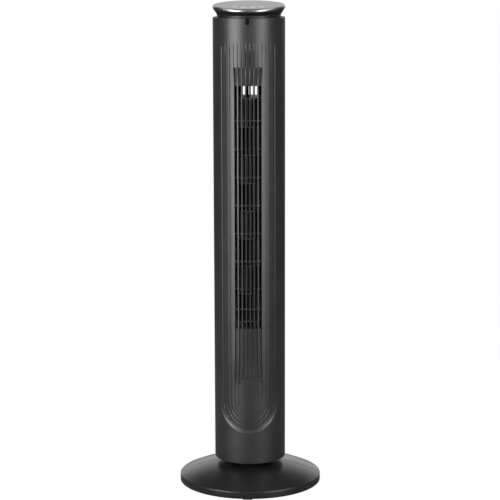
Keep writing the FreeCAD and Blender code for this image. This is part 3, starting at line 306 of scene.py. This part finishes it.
ring_radius = np.where(np.abs(turn_grid) > math.pi / 2, panel_half + 50, ring_radius)
strength = 1 - ease(height, reeds_full, reeds_gone)
off = np.abs((ring_radius / pitch) % 1 - 0.5) * pitch
crest = (pitch / 2 - off) / (pitch / 2)
bottom_share = np.where(below < 0, (x_grid / np.maximum(ring_radius, 1e-6)) ** 2, 1)
arc_fade = arc_least + (1 - arc_least) * bottom_share
inner_fade = ease(height, slot_feet[3] - 10, slot_feet[0] - 2)
ring_share = ease(ring_radius, arc_gone, arc_full)
reed = arc_fade * (ring_share + (1 - ring_share) * inner_fade) * strength
reed = np.where(ring_radius < 7 * pitch, reed, 0)
valley = np.clip(1 - off / groove_half, 0, 1)
sunk = np.clip((panel_half - ring_radius) / bevel, 0, 1)
by_slots = (np.abs(x_grid) < slot_field) & (height < slot_head) & (height > slot_feet[0])
valley = np.where(by_slots, 0, valley)
relief = reed * (groove_depth * valley + crest_drop * crest ** 2)
relief = relief + panel_depth * sunk * (1 - ease(height, sunk_below, flush_above))
end_gap = np.minimum(height - shell_bottom, shell_top - height)
side_gap = (seam_angle - np.abs(turn_grid)) * column_radius
out_radius = column_radius - relief - edge_round(end_gap, lip) - edge_round(side_gap, lip)
in_radius = np.minimum(column_radius - wall, out_radius - wall_least)


def on_column(radius, turn, height):
    """Points at a turn from the front, as an array."""
    return np.stack([radius * np.sin(turn), -radius * np.cos(turn), height], axis=-1)


mid_x = (x_grid[:-1, :-1] + x_grid[1:, 1:]) / 2
mid_z = (level_grid[:-1, :-1] + level_grid[1:, 1:]) / 2
slot_number = np.round(mid_x / pitch)
foot_level = np.select([np.abs(slot_number) == n for n in slot_feet], list(slot_feet.values()), 1e9)
in_slot = np.abs(mid_x - slot_number * pitch) < slot_half
in_slot = in_slot & (mid_z > foot_level) & (mid_z < slot_head)
facing_front = np.abs((turn_grid[:-1, :-1] + turn_grid[1:, 1:]) / 2) < math.pi / 2
in_window = (np.abs(mid_x) < window_half) & (mid_z > window_low)
keep = ~((in_slot | in_window) & facing_front)
front_shell = sheet_piece("FrontShell", on_column(out_radius, turn_grid, height),
                          on_column(in_radius, turn_grid, height), keep)


cloud_scale, cloud_gloss, grain_gloss, grain_strength = 18.0, 0.07, 0.1, 0.35


def moulded(name, dark, light, rough, grain, grain_depth):
    """Moulded plastic: cloudy colour, uneven gloss and a fine grain."""
    paint = bpy.data.materials.new(name)
    paint.use_nodes = True
    shader = paint.node_tree.nodes["Principled BSDF"]
    start = Wire(paint.node_tree)
    spot = start.node("ShaderNodeTexCoord", {}, {}, out="Object")
    cloud = start.node("ShaderNodeTexNoise", {},
                       {"Vector": spot, "Scale": cloud_scale, "Detail": 3.0})
    fleck = start.node("ShaderNodeTexNoise", {}, {"Vector": spot, "Scale": grain, "Detail": 2.0})
    tone = start.node("ShaderNodeMix", {"data_type": "RGBA"},
                      {0: cloud.rise(0.3, 0.7), 6: (*dark, 1), 7: (*light, 1)}, out=2)
    tone.into(shader, "Base Color")
    gloss = rough + (cloud - 0.5) * cloud_gloss + (fleck - 0.5) * grain_gloss
    gloss.into(shader, "Roughness")
    skin = start.node("ShaderNodeBump", {},
                      {"Height": fleck, "Strength": grain_strength, "Distance": grain_depth})
    skin.into(shader, "Normal")
    return paint


def dress(piece, paint):
    """The piece in this one material."""
    piece.data.materials.clear()
    piece.data.materials.append(paint)


charcoal = moulded("CharcoalPlastic", (0.0125, 0.0125, 0.013), (0.0155, 0.0155, 0.016),
                   0.39, 1600, 0.00005)
dress(front_shell, charcoal)
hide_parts("front_shell")
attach(front_shell, "column")

# ------------------------------------------------------------------ rear shell
# The rear half of the column in the same plastic, smooth, with ten columns of air inlet slots
# in six rows.  Ten screws in deep round recesses pull it to the front shell.
inlet_pitch, inlet_bar = 8.69, 1.9
inlet_columns, inlet_rows, inlet_rail = 10, 6, 4.0
inlet_lip, inlet_margin = 0.45, 5
duct_low, duct_high = corners("scroll_plate")
inlet_low, inlet_high = duct_low.z + inlet_margin, duct_high.z - inlet_margin
rear_low = corners("rear_shell")[0]
rear_end = math.acos(rear_low.y / column_radius)
inlet_half = (inlet_pitch - inlet_bar) / 2
inlet_x = [(k - (inlet_columns - 1) / 2) * inlet_pitch for k in range(inlet_columns)]
rear_x = []
for middle in inlet_x:
    edges = [-inlet_half - inlet_lip, -inlet_half - inlet_lip / 3, -inlet_half, 0, inlet_half,
             inlet_half + inlet_lip / 3, inlet_half + inlet_lip]
    rear_x += [middle + edge for edge in edges]
rear_turns = [math.asin(x / column_radius) for x in rear_x]
rear_side = spread(max(rear_turns), rear_end - lip / column_radius, 0.05)[1:]
rear_side += [rear_end - lip * step / column_radius for step in lip_steps]
rear_turns = np.array([-turn for turn in reversed(rear_side)] + rear_turns + rear_side)
row_pitch = (inlet_high - inlet_low + inlet_rail) / inlet_rows
rear_levels = [shell_bottom + lip * step for step in reversed(lip_steps)]
rear_levels += spread(shell_bottom + 2, inlet_low - 2, 20)
for row in range(inlet_rows):
    foot = inlet_low + row * row_pitch
    head = foot + row_pitch - inlet_rail
    rear_levels += [foot - inlet_lip, foot - inlet_lip / 3] + spread(foot, head, 20)
    rear_levels += [head, head + inlet_lip / 3, head + inlet_lip]
rear_levels += spread(inlet_high + 2, shell_top - lip, 15)
rear_levels = np.array(rear_levels + [shell_top - lip * step for step in lip_steps])
turn_grid, height = np.meshgrid(rear_turns, rear_levels)
x_grid = column_radius * np.sin(turn_grid)
nearest = np.clip(np.round(x_grid / inlet_pitch - 0.5) + 0.5,
                  min(inlet_x) / inlet_pitch, max(inlet_x) / inlet_pitch)
beside = np.abs(x_grid - nearest * inlet_pitch) - inlet_half
row_at = np.clip(np.floor((height - inlet_low + inlet_rail / 2) / row_pitch), 0, inlet_rows - 1)
row_foot = inlet_low + row_at * row_pitch
above = np.maximum(row_foot - height, height - row_foot - row_pitch + inlet_rail)
slot_gap = np.hypot(np.maximum(beside, 0), np.maximum(above, 0))
end_gap = np.minimum(height - shell_bottom, shell_top - height)
side_gap = (rear_end - np.abs(turn_grid)) * column_radius
out_radius = column_radius - edge_round(end_gap, lip) - edge_round(side_gap, lip)
out_radius = out_radius - edge_round(slot_gap, inlet_lip)
in_radius = np.full_like(out_radius, column_radius - wall)
keep = ~((beside[:-1, :-1] + beside[1:, 1:] < 0) & (above[:-1, :-1] + above[1:, 1:] < 0)
         & (np.minimum(beside[:-1, :-1], beside[1:, 1:]) < -inlet_lip))
rear_shell = sheet_piece("RearShell", on_column(out_radius, math.pi - turn_grid, height),
                         on_column(in_radius, math.pi - turn_grid, height), keep)


tube_steps = 32


def lying_tube(centre_x, centre_z, start, outer, inner, reach):
    """A tube along the depth whose far end follows a curve of radius reach; inner 0 is a rod."""
    points, faces = [], []
    radii = (outer, outer, inner, inner) if inner else (outer, outer)
    for k in range(tube_steps):
        a = 2 * math.pi * k / tube_steps
        for n, radius in enumerate(radii):
            x, z = centre_x + radius * math.cos(a), centre_z + radius * math.sin(a)
            far = math.sqrt(reach ** 2 - min(abs(x), reach) ** 2)
            points.append((x, far if n in (1, 2) else start, z))
    count = len(radii)
    for k in range(tube_steps):
        near, other = k * count, ((k + 1) % tube_steps) * count
        for n in range(count if inner else 1):
            m = (n + 1) % count
            faces.append((near + n, other + n, other + m, near + m))
    if not inner:
        faces.append(tuple(k * count for k in range(tube_steps)))
        faces.append(tuple(k * count + 1 for k in range(tube_steps)))
    return points, faces


def gathered(name, parts):
    """One mesh piece from several lists of points and faces."""
    points, faces = [], []
    for more_points, more_faces in parts:
        faces += [tuple(k + len(points) for k in face) for face in more_faces]
        points += more_points
    return make_piece(name, points, faces)


def settled(thing):
    """The thing's own mesh with everything on it applied."""
    bpy.context.view_layer.update()
    done = thing.evaluated_get(bpy.context.evaluated_depsgraph_get())
    return bpy.data.meshes.new_from_object(done)


screw_low, screw_high = corners("shell_screws")
boss_across, boss_radius, recess_radius = 66.0, 3.5, 3.0
boss_start, boss_short, recess_ease, recess_past = 8.1, 0.15, 0.02, 80
head_half, head_thick = 2.8, 2.0
gland_hole, gland_from, gland_past = 8.1, 60, 90
first_row, last_row = screw_low.z + head_half, screw_high.z - head_half
screw_rows = [first_row + (last_row - first_row) * k / 4 for k in range(5)]
recess_floor = screw_high.y - head_thick
rods, sleeves = [], []
for side in (-boss_across, boss_across):
    for row in screw_rows:
        rods.append(lying_tube(side, row, recess_floor, recess_radius + recess_ease, 0,
                               recess_past))
        sleeves.append(lying_tube(side, row, boss_start, boss_radius, recess_radius,
                                  column_radius - boss_short))
gland_low, gland_high = corners("cord_gland")
gland_height = (gland_low.z + gland_high.z) / 2
rods.append(lying_tube(0, gland_height, gland_from, gland_hole, 0, gland_past))
cutter = gathered("RearCutter", rods)
drill = rear_shell.modifiers.new("Drill", "BOOLEAN")
drill.operation = "DIFFERENCE"
drill.solver = "EXACT"
drill.object = cutter
drilled = settled(rear_shell)
rear_shell.modifiers.clear()
rear_shell.data = drilled
drilled.set_sharp_from_angle(angle=fold_edge)
bpy.data.objects.remove(cutter)
rear_sleeves = gathered("ScrewSleeves", sleeves)
for piece in (rear_shell, rear_sleeves):
    dress(piece, charcoal)
    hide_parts("rear_shell")
    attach(piece, "column")

# ------------------------------------------------------------------ base
# Two halves of a shallow dome moulded in darker, glossier plastic, open below, that meet on a
# fine left-to-right seam and are screwed to the pedestal.
rim_height, rim_round, rim_foot, rim_turn = 15.5, 2.2, 1.2, 78
dome_crown, dome_steps, base_wall, hole_radius = 5.0, 28, 2.6, 41.8
seam_gap, seam_round = 0.2, 0.9
seam_steps = [0.0, 0.12, 0.3, 0.6, seam_round]
base_low, base_high = corners("base_front_half")
base_radius, base_bottom, dome_top = base_high.x, base_low.z, base_high.z
rim_top = base_bottom + rim_height


def bow(start, middle, end, steps):
    """Points of the arc through three points, ends included."""
    (x1, y1), (x2, y2), (x3, y3) = start, middle, end
    scale = 2 * (x1 * (y2 - y3) + x2 * (y3 - y1) + x3 * (y1 - y2))
    far1, far2, far3 = (x ** 2 + y ** 2 for x, y in (start, middle, end))
    cx = (far1 * (y2 - y3) + far2 * (y3 - y1) + far3 * (y1 - y2)) / scale
    cy = (far1 * (x3 - x2) + far2 * (x1 - x3) + far3 * (x2 - x1)) / scale
    radius = math.hypot(x1 - cx, y1 - cy)
    first, last = math.atan2(y1 - cy, x1 - cx), math.atan2(y3 - cy, x3 - cx)
    angles = [first + (last - first) * k / steps for k in range(steps + 1)]
    return [(cx + radius * math.cos(a), cy + radius * math.sin(a)) for a in angles]


def quarter(cx, cy, radius, first, last, steps=5):
    """Points of an arc from first to last degrees."""
    angles = [math.radians(first + (last - first) * k / steps) for k in range(steps + 1)]
    return [(cx + radius * math.cos(a), cy + radius * math.sin(a)) for a in angles]


middle_radius = (base_radius + hole_radius) / 2
dome_line = bow((base_radius - rim_round, rim_top),
                (middle_radius, (rim_top + dome_top) / 2 + dome_crown),
                (hole_radius, dome_top), dome_steps)
base_top = quarter(base_radius - rim_foot, base_bottom + rim_foot, rim_foot, -90, 0)
base_top += quarter(base_radius - rim_round, rim_top - rim_round, rim_round, 0, rim_turn)
base_top += dome_line[1:]


def inward(line, distance):
    """The same line, moved to its left by a distance."""
    moved = []
    for k, (x, y) in enumerate(line):
        before, after = line[max(k - 1, 0)], line[min(k + 1, len(line) - 1)]
        dx, dy = after[0] - before[0], after[1] - before[1]
        length = math.hypot(dx, dy)
        moved.append((x - dy / length * distance, y + dx / length * distance))
    return moved


base_step = 1.5
base_turns = spread(base_step, 180 - base_step, base_step) + [180 - base_step]


def base_half(name, forward):
    """One half of the dome: forward is -1 for the front half and 1 for the rear."""
    grids = []
    for depth in (0, base_wall):
        rows = []
        for number, (radius, level) in enumerate(base_top):
            row = []
            for step in seam_steps:
                sink = depth + edge_round(step, seam_round)
                r, z = inward(base_top, sink)[number] if sink else (radius, level)
                y = seam_gap + step
                row.append((math.sqrt(max(r * r - y * y, 0)), forward * y, z))
            r, z = inward(base_top, depth)[number] if depth else (radius, level)
            for turn in base_turns:
                a = math.radians(turn)
                row.append((r * math.cos(a), forward * r * math.sin(a), z))
            row += [(-x, y, z) for x, y, z in reversed(row[:len(seam_steps)])]
            rows.append(row)
        grids.append(np.array(rows))
    grids[1][0, :, 2] = base_bottom
    full = np.ones((grids[0].shape[0] - 1, grids[0].shape[1] - 1), bool)
    return sheet_piece(name, grids[0], grids[1], full)


base_black = moulded("BasePlastic", (0.0065, 0.0065, 0.0067), (0.0085, 0.0085, 0.0088),
                     0.31, 1100, 0.00007)
base_halves = (("BaseFront", "base_front_half", -1), ("BaseRear", "base_rear_half", 1))
for half_name, cad_name, forward in base_halves:
    half = base_half(half_name, forward)
    dress(half, base_black)
    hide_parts(cad_name)
    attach(half, "base")

# ------------------------------------------------------------------ control disc
# A round moulded plate clipped on top of the neck, tipped towards the user: a satin silver
# painted face inside a glossier rounded rim.  Four round buttons come up through it.
disc_radius, disc_thick, disc_tilt = 75.0, 7.2, math.radians(5)
rim_width, rim_curve, rim_under, rim_wall, disc_skin, disc_seat = 3.3, 3.0, 2.4, 5.0, 2.2, 0.6
face_bevel, face_gap, face_fold, circle_hand = 0.25, 0.05, math.radians(30), 0.5523
button_radius, button_gap, button_circle, button_step = 7.0, 0.3, 46.0, 24.0
neck_top = 1009.0
tip = Matrix.Translation((0, 0, neck_top)) @ Matrix.Rotation(disc_tilt, 4, "X")


def round_faces(count, steps, closed=True):
    """Faces between the copies of an outline of count points turned in so many steps."""
    faces = []
    for k in range(steps):
        near, far = k * count, ((k + 1) % steps) * count
        for n in range(count if closed else count - 1):
            m = (n + 1) % count
            faces.append((near + n, far + n, far + m, near + m))
    return faces


def turned(name, outline, steps=144, centre=(0, 0), closed=True):
    """A piece on the tipped disc, turned about a line from an outline of (radius, height)."""
    points = []
    for k in range(steps):
        a = 2 * math.pi * k / steps
        for radius, level in outline:
            x, y = centre[0] + radius * math.cos(a), centre[1] + radius * math.sin(a)
            points.append(tuple(tip @ Vector((x, y, level))))
    return make_piece(name, points, round_faces(len(outline), steps, closed))


rim_in = disc_radius - rim_width
rim_line = [(rim_in, disc_thick)]
rim_line += quarter(disc_radius - rim_curve, disc_thick - rim_curve, rim_curve, 90, 0, 10)
rim_line += quarter(disc_radius - rim_under, rim_under, rim_under, 0, -90, 6)
rim_inside, rim_seat = disc_radius - rim_wall, disc_thick - disc_skin - disc_seat
rim_line += [(rim_inside, 0.0), (rim_inside, rim_seat), (rim_in, rim_seat)]
disc_rim = turned("DiscRim", rim_line)

face_curve = bpy.data.curves.new("DiscFace", "CURVE")
face_curve.dimensions = "2D"
face_curve.fill_mode = "BOTH"
face_curve.resolution_u = 40
holes = []
for number in range(4):
    a = math.radians(270 + (number - 1.5) * button_step)
    holes.append((button_circle * math.cos(a), button_circle * math.sin(a)))
rings = [(0, 0, rim_in - face_bevel - face_gap)]
rings += [(x, y, button_radius + button_gap + face_bevel) for x, y in holes]
for cx, cy, radius in rings:
    line = face_curve.splines.new("BEZIER")
    line.bezier_points.add(3)
    line.use_cyclic_u = True
    for k, knot in enumerate(line.bezier_points):
        a = math.pi / 2 * k
        hand = radius * circle_hand
        knot.co = (cx + radius * math.cos(a), cy + radius * math.sin(a), 0)
        knot.handle_left = knot.co + Vector((hand * math.sin(a), -hand * math.cos(a), 0))
        knot.handle_right = knot.co - Vector((hand * math.sin(a), -hand * math.cos(a), 0))
face_curve.extrude = disc_skin / 2 - face_bevel
face_curve.bevel_depth = face_bevel
face_curve.bevel_resolution = 2
drawn = bpy.data.objects.new("DiscFaceLine", face_curve)
scene.collection.objects.link(drawn)
face_mesh = settled(drawn)
bpy.data.objects.remove(drawn)
face_mesh.name = "DiscFace"
lifted = tip @ Matrix.Translation((0, 0, disc_thick - disc_skin / 2))
face_mesh.transform(Matrix.Scale(0.001, 4) @ lifted)
face_mesh.shade_smooth()
face_mesh.set_sharp_from_angle(angle=face_fold)
disc_face = bpy.data.objects.new("DiscFace", face_mesh)
scene.collection.objects.link(disc_face)


patch_scale, patch_gloss, flake_gloss = 40.0, 0.06, 0.05
flake_share, flake_shade, flake_strength, flake_depth = 0.7, 0.9, 0.12, 0.00004


def painted_metal(name, colour, rough, metal, flake):
    """Silver paint: fine metal flakes under a thin clear layer."""
    paint = bpy.data.materials.new(name)
    paint.use_nodes = True
    shader = paint.node_tree.nodes["Principled BSDF"]
    start = Wire(paint.node_tree)
    spot = start.node("ShaderNodeTexCoord", {}, {}, out="Object")
    chips = start.node("ShaderNodeTexVoronoi", {}, {"Vector": spot, "Scale": flake}, out="Color")
    chip = start.node("ShaderNodeSeparateColor", {}, {0: chips}, out=0)
    patch = start.node("ShaderNodeTexNoise", {},
                       {"Vector": spot, "Scale": patch_scale, "Detail": 3.0})
    darker = tuple(part * flake_shade for part in colour)
    share = chip * flake_share + patch * (1 - flake_share)
    tone = start.node("ShaderNodeMix", {"data_type": "RGBA"},
                      {0: share, 6: (*darker, 1), 7: (*colour, 1)}, out=2)
    tone.into(shader, "Base Color")
    gloss = rough + (patch - 0.5) * patch_gloss + (chip - 0.5) * flake_gloss
    gloss.into(shader, "Roughness")
    shader.inputs["Metallic"].default_value = metal
    skin = start.node("ShaderNodeBump", {},
                      {"Height": chip, "Strength": flake_strength, "Distance": flake_depth})
    skin.into(shader, "Normal")
    return paint


silver_face = painted_metal("SilverFace", (0.235, 0.235, 0.24), 0.36, 0.95, 2600)
silver_rim = painted_metal("SilverRim", (0.27, 0.27, 0.275), 0.32, 1.0, 3200)
dress(disc_face, silver_face)
dress(disc_rim, silver_rim)
for piece in (disc_face, disc_rim):
    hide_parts("control_disc")
    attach(piece, "column")

# ------------------------------------------------------------------ buttons
# Four moulded caps painted like the disc, each a shallow dish with a rounded edge, on a stem
# that presses a switch on the board below.
button_top, button_edge = disc_thick + 0.3, 0.5
flange_top, flange_foot, flange_out = 3.7, 2.75, 1.4
stem_radius, stem_foot, dish_middle = 2.0, 1.25, 0.001
button_paint = painted_metal("ButtonSilver", (0.5, 0.5, 0.505), 0.3, 0.95, 2600)
for number, (cx, cy) in enumerate(holes):
    cap = [(dish_middle, button_top - 0.28), (2.5, button_top - 0.24), (4.6, button_top - 0.12),
           (5.9, button_top)]
    cap += quarter(button_radius - button_edge, button_top - button_edge, button_edge, 90, 0, 4)
    cap += [(button_radius, flange_top), (button_radius + flange_out, flange_top),
            (button_radius + flange_out, flange_foot), (stem_radius, flange_foot),
            (stem_radius, stem_foot), (dish_middle, stem_foot)]
    button = turned(f"Button{number + 1}", cap, steps=48, centre=(cx, cy), closed=False)
    dress(button, button_paint)
    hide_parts(f"button_{number + 1}")
    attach(button, f"key_{number + 1}")

# ------------------------------------------------------------------ neck
# A smooth black moulded cone between the column and the disc, with a small ledge above the
# column's top edge; it clips into the shells by a flange.
flange_radius, flange_thick, flange_drop = 72.1, 3, 1.3
flange_high = shell_top - flange_drop
flange_low = flange_high - flange_thick
neck_foot, neck_head, neck_wall, neck_rise, neck_steps = 65.5, 74.0, 3.0, 8, 144
ledge_low, ledge_high, ledge_out = shell_top + 3.0, shell_top + 4.6, 1.4
ledge_under, ledge_over, ledge_root = 0.4, 0.5, 0.05
neck_line = [(neck_foot - neck_wall, flange_low), (flange_radius, flange_low),
             (flange_radius, flange_high), (neck_foot, flange_high), (neck_foot, ledge_low)]
neck_line += quarter(neck_foot + ledge_out - ledge_under, ledge_low + ledge_under, ledge_under,
                     -90, 0, 3)
neck_line += quarter(neck_foot + ledge_out - ledge_over, ledge_high - ledge_over, ledge_over,
                     0, 90, 3)
neck_line += [(neck_foot + ledge_root, ledge_high)]
neck_rows = [(radius, level, 0) for radius, level in neck_line]
neck_rows += [(neck_foot + (neck_head - neck_foot) * k / neck_rise, ledge_high, k / neck_rise)
              for k in range(1, neck_rise + 1)]
neck_rows += [(neck_head - neck_wall, ledge_high, 1), (neck_foot - neck_wall, ledge_high, 0)]
neck_points = []
for k in range(neck_steps):
    a = 2 * math.pi * k / neck_steps
    for radius, level, lean in neck_rows:
        flat = Vector((radius * math.cos(a), radius * math.sin(a), level))
        tipped = tip @ Vector((radius * math.cos(a), radius * math.sin(a), 0))
        neck_points.append(tuple(flat.lerp(tipped, lean)))
neck = make_piece("Neck", neck_points, round_faces(len(neck_rows), neck_steps))
neck_black = moulded("NeckPlastic", (0.005, 0.005, 0.0053), (0.007, 0.007, 0.0073),
                     0.44, 1800, 0.00003)
dress(neck, neck_black)
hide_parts("top_neck")
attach(neck, "column")

# ------------------------------------------------------------------ feet
# Five moulded rubber pads glued into seats under the rim, with rounded corners and a soft
# edge round the sole.  The sole is given as rings of (inset, height).
rubber = moulded("FootRubber", (0.022, 0.022, 0.022), (0.034, 0.034, 0.034), 0.72, 900, 0.0001)
foot_count, foot_width, foot_depth, foot_corner = 5, 21.0, 12.0, 2.5
foot_inset, foot_sunk = 6.0, 1.5
foot_top = base_bottom + foot_sunk
sole = [(0.9, 0.0), (0.35, 0.12), (0.08, 0.45), (0.0, 0.9), (0.0, foot_top)]
outline = []
for sx, sy, first in ((1, 1, 0), (-1, 1, 90), (-1, -1, 180), (1, -1, 270)):
    outline += quarter(sx * (foot_width / 2 - foot_corner), sy * (foot_depth / 2 - foot_corner),
                       foot_corner, first, first + 90, 4)
count = len(outline)
for number in range(foot_count):
    turn = Matrix.Rotation(2 * math.pi * number / foot_count, 4, "Z")
    out = -base_radius + foot_inset + foot_depth / 2
    points = []
    for inset, level in sole:
        for x, y in outline:
            sole_x = x * (1 - 2 * inset / foot_width)
            sole_y = out + y * (1 - 2 * inset / foot_depth)
            points.append(tuple(turn @ Vector((sole_x, sole_y, level))))
    last = len(sole) - 1
    faces = [tuple(reversed(range(count))), tuple(range(last * count, (last + 1) * count))]
    for level in range(last):
        for k in range(count):
            a, b = level * count + k, level * count + (k + 1) % count
            faces.append((a, b, b + count, a + count))
    foot = make_piece(f"Foot{number + 1}", points, faces)
    dress(foot, rubber)
    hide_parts(f"foot_{number + 1}")
    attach(foot, "base")

# ------------------------------------------------------------------ inner parts
# The wheel, duct, motors, gears, boards, bearings and screws keep their designed shapes; each
# gets the finish of what it is made of, moulded plastic, rubber, board, bronze, zinc or steel.
finishes = {
    "base_plastic": base_black, "foot_rubber": rubber, "neck_plastic": neck_black,
    "column_plastic": charcoal, "silver_paint": silver_face, "button_silver": button_paint,
}
plastics = (
    ("inner_black_plastic", "InnerBlack", (0.013, 0.013, 0.013), (0.019, 0.019, 0.019),
     0.7, 900, 0.00008),
    ("wheel_plastic", "WheelPlastic", (0.03, 0.03, 0.0305), (0.042, 0.042, 0.0425),
     0.46, 900, 0.00006),
    ("white_gear_plastic", "WhiteGear", (0.68, 0.67, 0.63), (0.75, 0.74, 0.70), 0.4, 900, 0.00006),
    ("circuit_board", "CircuitBoard", (0.02, 0.09, 0.035), (0.035, 0.13, 0.05), 0.35, 700, 0.00008),
    ("dark_window", "DarkWindow", (0.004, 0.004, 0.004), (0.006, 0.006, 0.006), 0.12, 600, 0.00001),
    ("gloss_black", "GlossBlack", (0.008, 0.008, 0.008), (0.011, 0.011, 0.011), 0.2, 900, 0.00003),
    ("black_rubber", "SoftRubber", (0.014, 0.014, 0.014), (0.022, 0.022, 0.022), 0.75, 700, 0.0001),
    ("capacitor_case", "CapacitorCase", (0.10, 0.10, 0.11), (0.14, 0.14, 0.15), 0.45, 500, 0.00006),
)
metals = (
    ("screw_steel", "Steel", (0.55, 0.55, 0.56), 0.3, 1500),
    ("zinc_cover", "ZincCover", (0.45, 0.46, 0.48), 0.42, 400),
    ("bronze", "Bronze", (0.55, 0.36, 0.17), 0.35, 900),
    ("stator_steel", "Laminations", (0.32, 0.32, 0.34), 0.38, 1200),
)
for slot, name, dark, light, rough, grain, grain_depth in plastics:
    finishes[slot] = moulded(name, dark, light, rough, grain, grain_depth)
for slot, name, colour, rough, flake in metals:
    finishes[slot] = painted_metal(name, colour, rough, 1.0, flake)
finishes["spring_steel"] = finishes["rotor_metal"] = finishes["screw_steel"]
slot_of = {part["node"]: part["material_slot"] for part in frame["record"]["subparts"]}
for node_name, node in frame["nodes"].items():
    dress(node, finishes[slot_of[node_name]])
